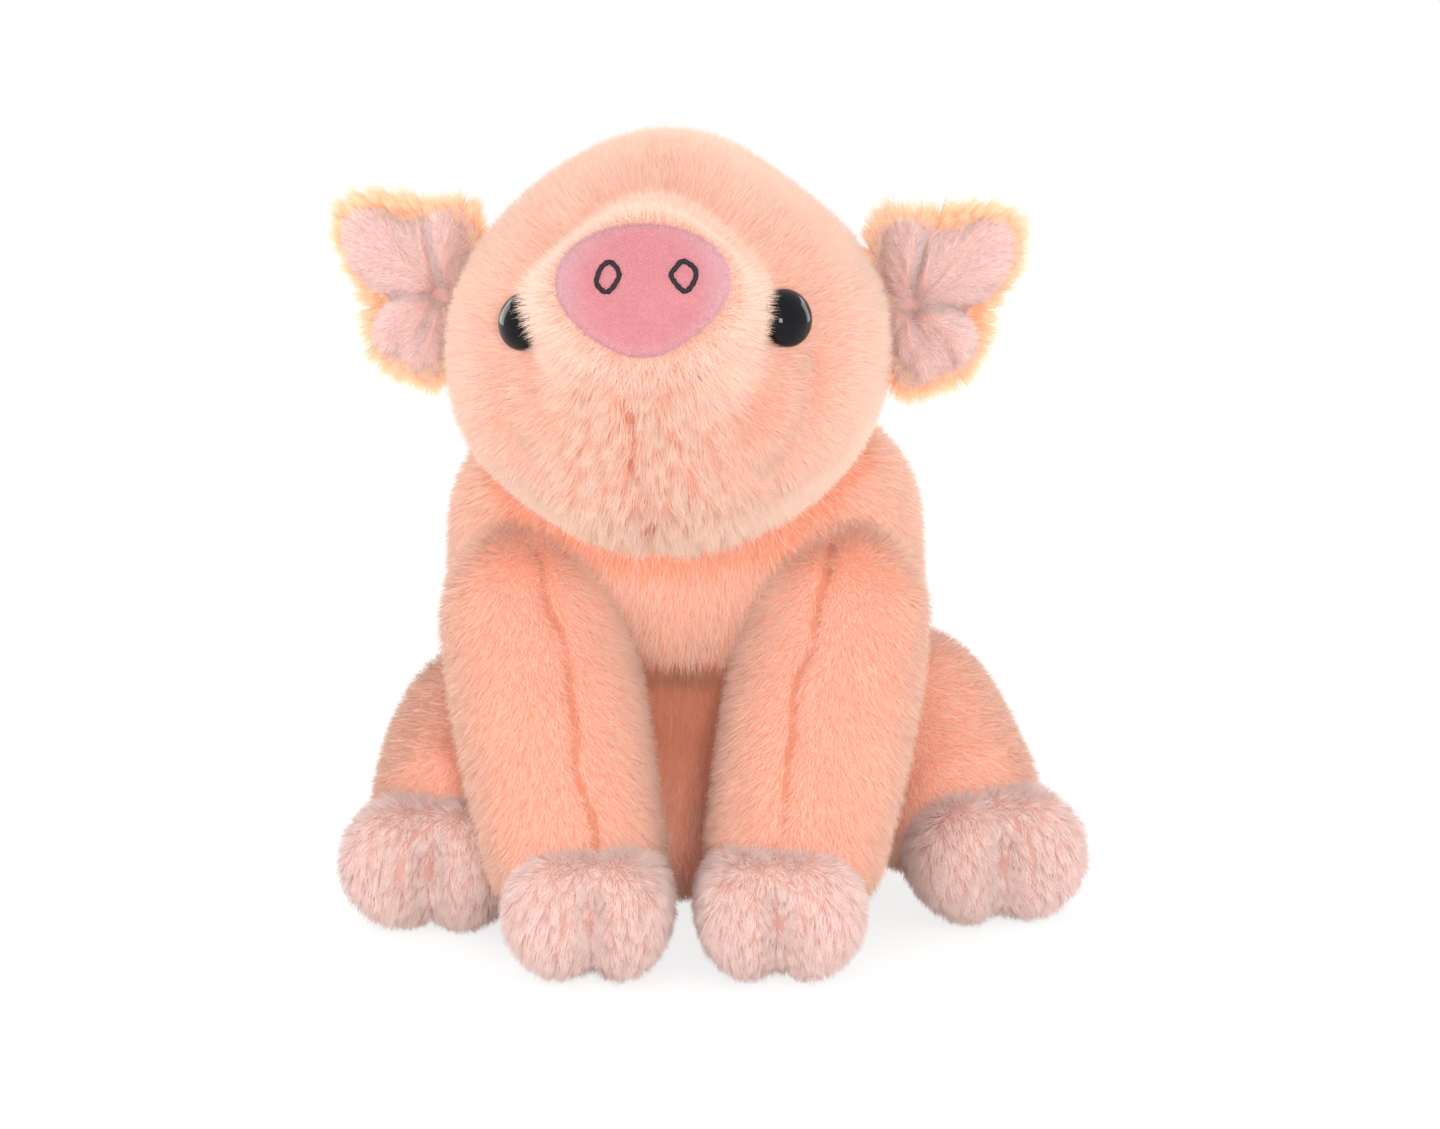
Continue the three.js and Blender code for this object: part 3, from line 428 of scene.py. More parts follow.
def pile_object(name, roots, normals, lean, length, toward, width, material, rng, tufts):
    """Pile as fine hairs, each three-sided and closed to a point."""
    across = lean - normals * np.sum(lean * normals, axis=1, keepdims=True)
    pull = tuft_pull(roots, tufts[0], 5) * tufts[1]
    pull -= normals * np.sum(pull * normals, axis=1, keepdims=True)
    stray = rng.normal(size=roots.shape) * 0.16
    length = length * rng.uniform(0.75, 1.1, len(roots))
    tip = roots + unit(normals + across + stray) * length[:, None] + pull
    way = unit(tip - roots)
    side = unit(np.cross(way, rng.normal(size=roots.shape)))
    other = np.cross(way, side)
    base = roots - normals * 0.4
    ring = [
        base + (side * math.cos(turn) + other * math.sin(turn)) * (width / 2)
        for turn in (0, FULL_TURN / 3, 2 * FULL_TURN / 3)
    ]
    points = np.stack([*ring, tip], 1).reshape(-1, 3)
    shade = unit(normals + way * 0.35 + across * 0.15 + stray * 0.5 + toward)
    count = len(roots)
    start = np.arange(count)[:, None, None] * 4
    faces = (start + np.array([[0, 1, 3], [1, 2, 3], [2, 0, 3]])).reshape(-1, 3)
    mesh = bpy.data.meshes.new(name)
    mesh.vertices.add(len(points))
    mesh.vertices.foreach_set("co", (points * MM).astype(np.float32).ravel())
    mesh.loops.add(faces.size)
    mesh.loops.foreach_set("vertex_index", faces.astype(np.int32).ravel())
    mesh.polygons.add(len(faces))
    mesh.polygons.foreach_set("loop_start", np.arange(0, faces.size, 3, dtype=np.int32))
    mesh.update(calc_edges=True)
    mesh.shade_smooth()
    tips = mesh.attributes.new("tip", "FLOAT", "POINT")
    tips.data.foreach_set("value", np.tile([0.0, 0.0, 0.0, 1.0], count).astype(np.float32))
    strand = mesh.attributes.new("strand", "FLOAT", "POINT")
    strand.data.foreach_set("value", np.repeat(rng.random(count), 4).astype(np.float32))
    mesh.normals_split_custom_set_from_vertices(np.repeat(shade, 4, axis=0).tolist())
    mesh.materials.append(material)
    made = placed(name, mesh)
    made.visible_shadow = False  # light passes through fibres this fine
    return made


def set_inputs(tree, node, inputs):
    """Sets each input of a shader node to a value, or links it to a socket."""
    for key, value in inputs.items():
        if isinstance(value, bpy.types.NodeSocket):
            tree.links.new(value, node.inputs[key])
        else:
            node.inputs[key].default_value = value


def add_node(tree, kind, inputs=None, **settings):
    """A new shader node with its settings and inputs."""
    made = tree.nodes.new("ShaderNode" + kind)
    for key, value in settings.items():
        setattr(made, key, value)
    set_inputs(tree, made, inputs or {})
    return made


def worked_out(tree, operation, *values):
    """The result of one operation on sockets and numbers."""
    return add_node(tree, "Math", dict(enumerate(values)), operation=operation).outputs[0]


def end_in_mix(tree, output, part, first, second):
    """Ends a node tree in two shaders, the second with the given part."""
    mix = add_node(tree, "MixShader", {0: part, 1: first.outputs[0], 2: second.outputs[0]})
    set_inputs(tree, tree.nodes[output], {"Surface": mix.outputs[0]})


def new_material(name):
    """A material, its node tree and its main shader."""
    material = bpy.data.materials.new(name)
    material.use_nodes = True
    return material, material.node_tree, material.node_tree.nodes["Principled BSDF"]


def plush(
    name, deep, tip, sheen=0.5, tint=cream_edge, patch=0.12, uneven=0.16, rise=0.6, finish=None
):
    """Knitted plush: deeper colour painted at the roots as the shade down in the pile, paler at the
    tips, uneven from hair to hair.
    """
    material, tree, shader = new_material(name)
    strand = add_node(tree, "Attribute", attribute_name="strand").outputs["Fac"]
    tips = add_node(tree, "Attribute", attribute_name="tip").outputs["Fac"]
    place = add_node(tree, "TexCoord").outputs["Object"]
    noise = add_node(tree, "TexNoise", {"Vector": place, "Scale": 90.0, "Detail": 3.0})
    bright = worked_out(tree, "MULTIPLY_ADD", strand, uneven, 1 - uneven / 2 - patch / 2)
    bright = worked_out(tree, "MULTIPLY_ADD", noise.outputs["Fac"], patch, bright)
    # painted shade: the colour runs from the deep one at the root, where the pile lies in shade, to
    # the tip's
    along = worked_out(tree, "POWER", tips, rise)
    ends = {"Factor": along, "A": (*deep, 1), "B": (*tip, 1)}
    color = add_node(tree, "Mix", ends, data_type="RGBA").outputs["Result"]
    scaled = add_node(tree, "VectorMath", {0: color, "Scale": bright}, operation="SCALE")
    color = scaled.outputs["Vector"]
    if finish is not None:
        color = finish(tree, place, color)
    soft = {
        "Base Color": color,
        "Roughness": 0.85,
        "Specular IOR Level": 0.15,
        "Sheen Weight": sheen,
        "Sheen Roughness": 0.35,
        "Sheen Tint": (*tint, 1),
    }
    set_inputs(tree, shader, soft)
    face = add_node(tree, "NewGeometry").outputs["True Normal"]
    through = add_node(tree, "BsdfTranslucent", {"Color": color, "Normal": face})
    end_in_mix(tree, "Material Output", THROUGH_SHARE, shader, through)
    return material


peach = plush("peach_plush", peach_deep, peach_tip, 0.3, peach_edge)
painted_shade_plush = plush("painted_shade_plush", painted_shade_deep, painted_shade_tip, 0.3, peach_edge)

body = Form(
    frame_of((0, 0, -seat_pressed), AXIS_X, AXIS_Y, AXIS_Z),
    (body_height, body_half_width, body_depth, body_depth),
    body_rings,
    body_rounds,
    body_fullness,
)
points, faces = body.skin(160, 60, 26, -PILE_RISE)
between_legs = ramp(-points[:, 1], belly_front, belly_front + 25)
between_legs *= np.clip(1.5 - np.abs(points[:, 0]) / 30, 0, 1)
step = ramp(points[:, 2], chest_edge, chest_edge - chest_roll)
step *= step * (3 - 2 * step)
points[:, 1] += belly_set_back * between_legs * step * ramp(points[:, 2], 12, 52)
body_skin = mesh_object("body_skin", points, faces, peach)
rng = np.random.default_rng(11)
roots, up = roots_on(points, faces, body_dense, rng)
keep = (roots[:, 2] > FLOOR_CLEAR) & ((roots[:, 1] < 10) | (rng.random(len(roots)) < 0.7))
roots, up = picked(keep, roots, up)
lean = combed(-AXIS_Z * 0.9, 0.25, roots, rng)
lean[:, 0] += ripple(roots, 22, 3) * 0.35
# painted shade: the low hairs, on the belly between the front legs and round the neck, take the
# darker plush
low = (roots[:, 2] < chest_edge + 3 * ripple(roots, 9, 7)) & (roots[:, 1] < -belly_front)
painted_shade_share = np.clip(roots[:, 2] / 40 - 0.25, 0.35, 1)
painted_shade_share *= ramp(np.abs(roots[:, 0]) - 5 * ripple(roots, 15, 19), 40, 20)
low &= rng.random(len(roots)) < painted_shade_share
to_head = length_of(roots - neck_middle) - neck_reach - 3 * ripple(roots, 20, 20)
low |= rng.random(len(roots)) < 0.7 * ramp(to_head, 6, 0)
pile = (roots, up, lean)
coat("body_pile", "torso", "peach_plush", pile, body_hair, peach, rng, chosen=~low)
coat("painted_shade_pile", "torso", "peach_plush", pile, body_hair, painted_shade_plush, rng, chosen=low)
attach(body_skin, "torso")
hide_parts("body_cover", "body_filling", "pellet_pouch")

# Head
# The head is sewn from paler plush in panels that meet in a seam under the chin, stuffed hard, with
# a short muzzle drawn out of it. It sits on the flat seam of the neck and turns on it.

head_middle = (-4.0, -45.0, 180.0)
head_turn = 5.5
snout_lift = 18.5
head_length = 132.0
head_behind = 56.0  # this much of the length lies behind the middle
head_half_width = 64.0
head_crown = 58.0
head_jowl = 66.0
head_rounds = (52.0, 8.0)
head_fullness = (2.1, 3.0)
head_narrow = 0.2  # how much narrower the head is at its crown
head_rings = [
    [0.0, 0.84, 0.84, 0.78],
    [0.2, 0.94, 0.94, 0.91],
    [0.42, 1.0, 1.0, 1.0],
    [0.57, 0.98, 0.93, 0.98],
    [0.66, 0.89, 0.81, 0.92],
    [0.71, 0.76, 0.7, 0.84],
    [0.755, 0.62, 0.6, 0.75],
    [0.8, 0.53, 0.53, 0.65],
    [0.86, 0.48, 0.48, 0.53],
    [0.92, 0.46, 0.45, 0.41],
    [1.0, 0.445, 0.44, 0.3],
]
eye_distance = 0.77 * head_length
eye_dint = 4.0  # the cloth is drawn in this far ahead of and behind each eye
eye_rise = math.radians(4)
seam_front, seam_back = 120.0, 62.0  # where the chin's seam starts and ends
muzzle_root, muzzle_drawn = 104.0, 120.0  # the nap turns outward between these
# painted shade: the pile is darker in a ring round the muzzle's root, this far along the head
fold_place = 101.0
crown_side, crown_place = 2.0, 84.0
nose_rim = 121.0
fine = 0.27  # the width of most hairs on the head
chin_hair = (7.4, 0.3)
parting_hair = (3.6, 0.3)
muzzle_hair = 8.4
head_dense = 3.4
head_sunk = 9.0  # no hair is rooted deeper than this in the body
chin_tufts = (6.0, 0.75)
muzzle_tufts = (3.6, 0.4)
chin_crease = (1.8, 2.6)  # depth and width
eye_crease = (2.0, 8.0)
cheek_crease = (2.4, 4.5)
cheek_lump = (2.4, 20.0)  # height and width
side_dint = (-2.4, 20.0)
puff_width = 9.5
puffs = ((1, 3.2), (-1, 6.6))  # side and height

pale_deep = (0.97, 0.48, 0.36)
pale_tip = (0.97, 0.72, 0.6)
# tip colour of the pile painted with shade round the muzzle's root, and of the deeper patches
shade_and_patch_tip = (0.94, 0.52, 0.39)
muzzle_deep = (1.0, 0.48, 0.34)
# paler tips: partly the muzzle pile's own colour, partly painted light from above and through the
# fringe
muzzle_pale_and_lit_tip = (1.0, 0.79, 0.68)
chin_deep = (0.95, 0.38, 0.24)
chin_tip = (1.0, 0.76, 0.64)
# painted shade for the parting along the chin seam
parting_shade_deep = (0.75, 0.24, 0.13)
parting_shade_tip = (0.9, 0.4, 0.27)


def eye_turn(side):
    """How far round the head an eye sits; the side is 1 at the pig's left and -1 at its right."""
    return eye_rise if side > 0 else math.pi - eye_rise


snout_way = turned(-AXIS_Y, AXIS_X, -snout_lift)
cosine, sine = math.cos(-math.radians(head_turn)), math.sin(-math.radians(head_turn))
spin, back_off = np.eye(4), np.eye(4)
spin[:3, :3] = [[cosine, 0, sine], [0, 1, 0], [-sine, 0, cosine]]
back_off[2, 3] = -head_behind
head_frame = frame_along(head_middle, snout_way, AXIS_X) @ spin @ back_off
head = Form(
    head_frame,
    (head_length, head_half_width, head_crown, head_jowl),
    head_rings,
    head_rounds,
    head_fullness,
    head_narrow,
)
pale = plush("pale_plush", pale_deep, pale_tip)
points, faces = head.skin(200, 110, 24, -PILE_RISE)
seam_run = np.linspace(seam_front, seam_back, 24)
seam_turn = -math.pi / 2 - 0.05 - 0.22 * ((seam_run - seam_back) / 58) ** 2
seam_turn += 0.035 * np.sin(seam_run / 4.3) + 0.02 * np.sin(seam_run / 2.1 + 1)
chin_seam = head.at(seam_run, seam_turn, -PILE_RISE)
creases = [(chin_seam, *chin_crease)]
lumps = []
for side, puff_height in puffs:
    turn = eye_turn(side)
    beside = head.at([eye_distance - eye_dint, eye_distance + eye_dint], np.full(2, turn))
    creases.append((beside, *eye_crease))
    run = 0.72 * head_length - np.linspace(0, 6, 8)
    cheek_fold = head.at(run, turn - side * np.radians(np.linspace(18, 58, 8)), -PILE_RISE)
    creases.append((cheek_fold, *cheek_crease))
    puff = head.at(0.86 * head_length, turn + side * math.radians(6))
    lumps.append((puff, puff_height, puff_width))
    cheek = head.at(0.6 * head_length, turn - side * math.radians(32))
    lumps.append((cheek, *cheek_lump))
lumps.append((head.at(0.5 * head_length, math.radians(50)), *side_dint))
points = dented(points, faces, creases, lumps)
head_skin = mesh_object("head_skin", points, faces, pale)
rng = np.random.default_rng(12)
roots, up = roots_on(points, faces, head_dense, rng)
own = moved_back(head_frame, roots)
keep = (own[:, 2] < head_length - 2.2) & (body.deep(roots) < head_sunk)
roots, up, own = picked(keep, roots, up, own)
back_way = -head_frame[:3, 2]
lean = combed(back_way * 0.85, 0.3, roots, rng)
lean[:, 0] += ripple(roots, 20, 4) * 0.3
lean[:, 2] += ripple(roots, 17, 5) * 0.25
gap, away = line_gap(roots, chin_seam)
part = bump(gap, 6)[:, None]
lean = lean * (1 - 0.6 * part) + unit(away) * part * 0.8
muzzle = ramp(own[:, 2], muzzle_root, muzzle_drawn)[:, None]
radial = unit(own * (1, 1, 0)) @ head_frame[:3, :3].T
lean = lean * (1 - muzzle) + (radial + back_way * 0.25) * muzzle
lean = combed(lean, muzzle * 0.55, roots, rng)
crown = bump(own[:, 0] - crown_side, 9) * bump(own[:, 2] - crown_place, 12) * (own[:, 1] > 0)
lean += (ripple(roots, 7, 16) * crown)[:, None] * head_frame[:3, 0] * 1.6
rim = ramp(own[:, 2], nose_rim, nose_rim + 7) * (rng.random(len(roots)) < 0.55)
lean -= (radial * 1.25 + back_way * 0.9) * rim[:, None]
mixed = rng.random(len(roots))
on_muzzle = (own[:, 2] - 110 - 9 * ramp(-own[:, 1], 0, 25)) / 14 > 0.15 + 0.5 * mixed
on_chin = ~on_muzzle & (gap < 14 + 14 * mixed) & (own[:, 1] < 0)
on_face = ~on_muzzle & ~on_chin & (gap > 3)
# painted shade darkens the pile in the valley round the muzzle's root; deeper patches also fall at
# random and where the crown is ruffled
fold = bump(own[:, 2] - fold_place, 5) * (0.7 + 0.4 * ripple(roots, 24, 14))
fold += 0.5 * np.clip(ripple(roots, 26, 15) - 0.2, 0, 1)
fold += 1.3 * crown * np.clip(ripple(roots, 8, 17) + 0.3, 0, 1)
on_shade_and_patches = on_face & (rng.random(len(roots)) < 0.8 * fold)
on_face &= ~on_shade_and_patches
parted = gap < 1.4 + 1.4 * ripple(roots, 11, 8) + mixed
on_chin &= ~parted
on_muzzle &= ~parted

pile = (roots, up, lean)
drawn = muzzle[:, 0]
shade_and_patch_plush = plush("shade_and_patch_plush", pale_deep, shade_and_patch_tip)
size = (5.0 + 3 * drawn, fine)
coat("shade_and_patch_pile", "head", "pale_plush", pile, size, shade_and_patch_plush, rng, chosen=on_shade_and_patches)
nap = ripple(roots, 12, 6)[:, None] * 0.35 * AXIS_Z - 0.6 * back_way * muzzle
size = (5.4 + 3 * drawn, fine)
coat("head_pile", "head", "pale_plush", pile, size, pale, rng, nap, chosen=on_face)
chin_plush = plush("chin_plush", chin_deep, chin_tip, uneven=0.26)
down = (roots, up, lean * 1.1 - AXIS_Z * 0.35)
nap = ripple(roots, 7, 9)[:, None] * 0.5 * AXIS_X
coat("chin_pile", "head", "pale_plush", down, chin_hair, chin_plush, rng, nap, chin_tufts, on_chin)
# painted shade: the parted pile along the chin seam is coloured darker for the shade in the parting
parting_shade_plush = plush("parting_shade_plush", parting_shade_deep, parting_shade_tip, sheen=0.0)
coat("parting_shade_pile", "head", "pale_plush", pile, parting_hair, parting_shade_plush, rng, chosen=parted)
# partly painted light: the muzzle's pile is paler at its tips for the light from above and through
# the fringe
muzzle_pale_and_lit_plush = plush("muzzle_pale_and_lit_plush", muzzle_deep, muzzle_pale_and_lit_tip, sheen=0.7)
shorter = 1.6 * drawn**3 + 2.4 * ramp(own[:, 1], 0, 15) + 1.2 * ramp(own[:, 0], 0, 15)
size, nap = (muzzle_hair - shorter, fine), -0.5 * back_way * muzzle
coat(
    "muzzle_pile", "head", "pale_plush", pile, size, muzzle_pale_and_lit_plush, rng, nap, muzzle_tufts, on_muzzle
)
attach(head_skin, "head")
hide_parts("head_cover", "head_filling", "eye_washer_left", "eye_washer_right")

# Nose
# The nose is an egg-shaped disc of flat velour sewn over the end of the muzzle. Two nostrils are
# outlined on it in dark satin stitch.

nose_half_width = 24.5
nose_half_height = 18.8
nose_narrow = 0.28
nose_raise = 2.7  # the disc is widest above its middle
nose_thick = 2.4
nose_dome = 1.8
nose_turn_in = 1.2  # the hem goes this far into the muzzle
nose_around = 96
nose_shares = (0.12, 0.25, 0.4, 0.55, 0.7, 0.8, 0.87, 0.92, 0.96, 0.985, 1.0)
nostril_shapes = (
    ("left", 1, ((-0.2, 4.3), (3.0, 2.2), (3.1, -1.0), (0.3, -4.2), (-3.4, 0.0), (-2.0, 2.6))),
    ("right", -1, ((1.0, 4.2), (3.2, 0.4), (0.0, -4.1), (-3.0, -2.0), (-2.8, 0.7), (-1.5, 3.2))),
)
nostril_apart = 10.6
nostril_middle = (1.2, 3.4)
nostril_around = 48
stitch_radius = 0.72
stitch_around = 8
stitch_rise = 0.25
velour_hair = (1.2, 0.3)
velour_dense = 8.0
velour_tufts = (3.2, 0.05)

nose_deep = (0.78, 0.33, 0.36)
nose_tip = (0.91, 0.47, 0.51)
# painted sheen: the rim of the velour is greyed toward this
nose_rim_sheen = (0.7, 0.46, 0.5)
mauve = (0.62, 0.5, 0.66)
thread_color = (0.012, 0.006, 0.01)


def plain(name, color, rough, specular):
    """A material of one colour."""
    material, tree, shader = new_material(name)
    color = {"Base Color": (*color, 1), "Roughness": rough, "Specular IOR Level": specular}
    set_inputs(tree, shader, color)
    return material


def closed_curve(corners, count):
    """A smooth closed line through corners, evenly spaced."""
    corners = np.asarray(corners, float)
    total = len(corners)
    spread = np.linspace(0, total, 1200, endpoint=False)
    corner = spread.astype(int)
    part = (spread - corner)[:, None]
    before, near, far, after = (corners[(corner + step) % total] for step in (-1, 0, 1, 2))
    square = (2 * before - 5 * near + 4 * far - after) * part**2
    cube = (3 * near - before - 3 * far + after) * part**3
    curve = 0.5 * (2 * near + (far - before) * part + square + cube)
    gaps = length_of(np.roll(curve, -1, 0) - curve)
    run = np.concatenate([[0], np.cumsum(gaps)[:-1]])
    even = np.linspace(0, gaps.sum(), count, endpoint=False)
    return np.stack([np.interp(even, run, curve[:, 0]), np.interp(even, run, curve[:, 1])], -1)


def nose_share(x, y):
    """Share of the way from the middle of the disc to its rim."""
    y = y - nose_raise
    reach = np.where(y > 0, nose_half_height - nose_raise, nose_half_height + nose_raise)
    low = np.clip(-y / reach, 0, 1)
    return np.hypot(x / (nose_half_width * (1 - nose_narrow * low**2)), y / reach)


def nose_height(part):
    """Height of the disc's face from its middle, 0, to its rim, 1."""
    edge = np.clip((1 - part) / 0.1, 0, 1)
    return nose_thick * np.sqrt(1 - (1 - edge) ** 2) + nose_dome * (1 - part**2)


def greyed(tree, place, color):
    """The velour's colour, greyer toward the rim of the disc: painted sheen of the pile seen at a
    slant.
    """
    middle = tuple(moved(nose_frame, [0, 0, 2]) * MM)
    gap = add_node(tree, "VectorMath", {0: place, 1: middle}, operation="DISTANCE")
    span = {"From Min": 14 * MM, "From Max": 25 * MM, "To Max": 0.7}
    span["Value"] = gap.outputs["Value"]
    outer = add_node(tree, "MapRange", span, interpolation_type="SMOOTHSTEP").outputs["Result"]
    ends = {"Factor": outer, "A": color, "B": (*nose_rim_sheen, 1)}
    return add_node(tree, "Mix", ends, data_type="RGBA").outputs["Result"]


muzzle_end = head_length - 1.6
nose_middle = sum(head.own(muzzle_end - 8, side * math.pi / 2)[1] for side in (1, -1)) / 2
nose_place = np.eye(4)
nose_place[:3, 3] = (0, nose_middle, muzzle_end + 0.3)
nose_frame = head_frame @ nose_place

turn = turns(nose_around)
slim = 1 - nose_narrow * np.maximum(-np.sin(turn), 0) ** 2
tall = nose_half_height - nose_raise * np.sign(np.sin(turn))
wide_way, high_way = nose_half_width * np.cos(turn) * slim, np.sin(turn) * tall
rings = [
    np.column_stack([p * wide_way, nose_raise + p * high_way, np.full(nose_around, nose_height(p))])
    for p in nose_shares
]
rings.append(rings[-1] * (0.9, 0.9, 0) - (0, 0, nose_turn_in))
ends = [[0, nose_raise, -nose_turn_in], [0, nose_raise, nose_height(0.0)]]
faces = [tuple(reversed(f)) for f in tube_faces(len(rings), nose_around)]
last = len(rings) * nose_around
first = last - nose_around
for step in range(nose_around):
    faces.append((last + 1, step, (step + 1) % nose_around))
for step in range(nose_around):
    faces.append((last, first + (step + 1) % nose_around, first + step))
velour = plush("nose_velour", nose_deep, nose_tip, 0.25, mauve, uneven=0.36, finish=greyed)
points = moved(nose_frame, np.concatenate([*rings, ends]))
nose = mesh_object("nose", points, faces, velour)
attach(nose, "head")
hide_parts("nose_pad")

thread = plain("dark_thread", thread_color, 0.6, 0.4)
nostril_lines = []
for name, side, corners in nostril_shapes:
    flat = closed_curve(corners, nostril_around) + np.add((side * nostril_apart, 0), nostril_middle)
    line = np.column_stack([flat, nose_height(nose_share(flat[:, 0], flat[:, 1])) + stitch_rise])
    along = unit(np.roll(line, -1, 0) - np.roll(line, 1, 0))
    sideways = unit(np.cross(along, AXIS_Z))
    thick = stitch_radius + 0.09 * np.sin(np.arange(nostril_around) * math.pi / 2)
    upright = np.broadcast_to(AXIS_Z, line.shape)
    tube = moved(nose_frame, tube_about(line, sideways, upright, thick, stitch_around))
    tube_skin = tube_faces(nostril_around, stitch_around, ring_loop=True)
    nostril_lines.append(moved(nose_frame, np.concatenate([line, line[:1]])))
    stitch = mesh_object(f"nostril_{name}", tube, tube_skin, thread)
    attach(stitch, "head")
    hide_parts(f"nostril_stitch_{name}")

rng = np.random.default_rng(13)
roots, up = roots_on(points, faces, velour_dense, rng)
keep = up @ nose_frame[:3, 2] > 0.1
for line in nostril_lines:
    keep &= line_gap(roots, line)[0] > 0.75
roots, up = picked(keep, roots, up)
lean = combed(-nose_frame[:3, 1] * 0.2, 0.4, roots, rng)
pile = (roots, up, lean)
coat("nose_pile", "head", "nose_velour", pile, velour_hair, velour, rng, tufts=velour_tufts)

# Eyes
# Each eye is a glossy black plastic dome moulded in one with its shank. The shank is pushed through
# the cloth beside the muzzle and locked from inside by a washer.

eye_radius = 8.4
eye_dome = 6.2
eye_seat = 1.0  # the dome's rim is pressed this far into the cloth
shank_radius = 2.1
shank_length = 13.0
eye_around = 64
eye_black = plain("black_eye", (0.002, 0.002, 0.003), 0.04, 0.2)


def eye_frame(side):
    """Where an eye sits on the head's skin, in the part's frame."""
    turn = eye_turn(side)
    here = head.own(eye_distance, turn)
    along = head.own(eye_distance + 0.1, turn) - here
    around = head.own(eye_distance, turn + 0.001) - here
    return head_frame @ frame_along(here, np.cross(around, along), AXIS_Y)


for name, side in (("left", 1), ("right", -1)):
    lift = np.linspace(0, math.pi / 2, 20)[:-1]
    radii = np.concatenate([[shank_radius, shank_radius, eye_radius], eye_radius * np.cos(lift)])
    heights = np.concatenate([[-shank_length, -eye_seat, -eye_seat], 0.2 + eye_dome * np.sin(lift)])
    turn, wide = turns(eye_around), radii[:, None]
    high = np.repeat(heights[:, None], eye_around, 1)
    rings = np.stack([wide * np.cos(turn), wide * np.sin(turn), high], -1).reshape(-1, 3)
    ball = np.concatenate([rings, [[0, 0, -shank_length], [0, 0, 0.2 + eye_dome]]])
    ball = moved(eye_frame(side), ball)
    ball_faces = tube_faces(len(radii), eye_around, closed_ends=True)
    eye = mesh_object(f"glossy_eye_{name}", ball, ball_faces, eye_black)
    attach(eye, "head")
    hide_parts(f"eye_{name}")

# Ears
# Each ear is a leaf of plush sewn back to back with a smaller leaf of short satin pile, turned
# right side out, folded at its root and sewn into the side of the head. The satin crumples into
# four lobes.

ear_length = 42.0
ear_height = 54.0
ear_outline = [
    [-0.05, 0.0],
    [-0.06, 0.4],
    [0.2, 0.51],
    [0.52, 0.53],
    [0.82, 0.51],
    [1.0, 0.37],
    [0.95, 0.15],
    [0.79, -0.04],
    [0.69, -0.22],
    [0.54, -0.39],
    [0.3, -0.48],
    [0.0, -0.41],
]
ear_place = 0.4 * head_length
ear_around = 160
ear_sunk = 3.0  # no hair is rooted deeper than this in the head
leaf_rings = 24
leaf_thick = 1.5
leaf_hem = 3.8  # the leaf ends this far inside the fuzz of the outline
ear_hair = (5.0, 0.24)
ear_dense = 9.0
ear_tufts = (3.8, 0.7)
rim_from = 0.75
satin_rings = 60
satin_hair = (2.8, 0.2)
satin_dense = 6.0
satin_tufts = (2.4, 0.4)
satin_tuck = np.array([6.0, 0.5])  # where the folds of the satin meet at the root
satin_lobes = (  # place across and up, half length, half width, tilt and height
    (8.0, 14.5, 13.0, 8.5, 72.0, 6.6),
    (24.0, 12.0, 19.0, 10.5, 24.0, 5.2),
    (8.0, -11.0, 13.0, 8.0, -80.0, 5.0),
    (17.5, -9.5, 15.0, 6.5, -52.0, 6.2),
)
satin_creases = ((14.5, 27.0, 3.4), (33.0, -3.5, 3.4), (12.0, -26.0, 1.8))  # end and depth

satin_deep = (0.86, 0.5, 0.44)
satin_tip = (0.97, 0.79, 0.76)
satin_edge = (1.0, 0.9, 0.88)
ear_deep = (1.0, 0.46, 0.25)
ear_tip = (1.0, 0.81, 0.6)
satin = plush("ear_satin", satin_deep, satin_tip, 0.4, satin_edge, 0.2, 0.26)
ear_plush = plush("ear_plush", ear_deep, ear_tip, rise=1.3)


def ear_frame(side):
    """The ear's own frame: X outward from the root, Y up along it, Z to the front."""
    turn = math.radians(8 if side > 0 else 12)
    outward = turned((math.cos(turn), math.sin(turn), 0), AXIS_Y, 12)
    outward = turned(outward, AXIS_Z, -2)
    upward = unit(AXIS_Y - outward * outward[1])
    place = frame_of(head.own(ear_place, turn), outward, upward, np.cross(outward, upward))
    return head_frame @ np.diag([side, 1.0, 1.0, 1.0]) @ place


def ear_sheet(x, y):
    """Depth of the sheet that both leaves follow."""
    across = y / ear_height
    along = x / ear_length - 0.42
    cup = 7 * (4 * across**2 + along**2)
    ridge = np.exp(-((across + 0.1) ** 2) * 60)
    return cup - 3.4 * ridge * (0.6 + along)


def satin_rise(x, y, side):
    """How the satin leaf puffs up over the sheet, in lobes with creases that run to the tuck."""
    total = np.zeros_like(x)
    for lobe_x, lobe_y, long_half, short_half, tilt, height in satin_lobes:
        tilt = math.radians(tilt + 5 * side)
        cosine, sine = math.cos(tilt), math.sin(tilt)
        along = ((x - lobe_x) * cosine + (y - lobe_y) * sine) / long_half
        aside = (-(x - lobe_x) * sine + (y - lobe_y) * cosine) / short_half
        puff = height * np.clip(1 - along * along - aside * aside, 0, 1) ** 0.6
        total = (total**5 + puff**5) ** 0.2
    tuck_x, tuck_y = x - satin_tuck[0], y - satin_tuck[1]
    far = np.hypot(tuck_x, tuck_y)
    fan = np.arctan2(tuck_y, tuck_x)
    pleats = np.sin(fan * 11 + far * 0.2 + side) + 0.6 * np.sin(fan * 23 - far * 0.35)
    total += 0.35 * pleats * np.clip(far / 8, 0, 1)
    for end_x, end_y, depth in satin_creases:
        way_x, way_y = end_x - satin_tuck[0], end_y - satin_tuck[1]
        long = math.hypot(way_x, way_y)
        way_x, way_y = way_x / long, way_y / long
        run = np.clip(tuck_x * way_x + tuck_y * way_y, 0, long)
        total -= depth * bump(np.hypot(tuck_x - run * way_x, tuck_y - run * way_y), 1.7)
    return total - 3.0 * bump(far, 4.5)


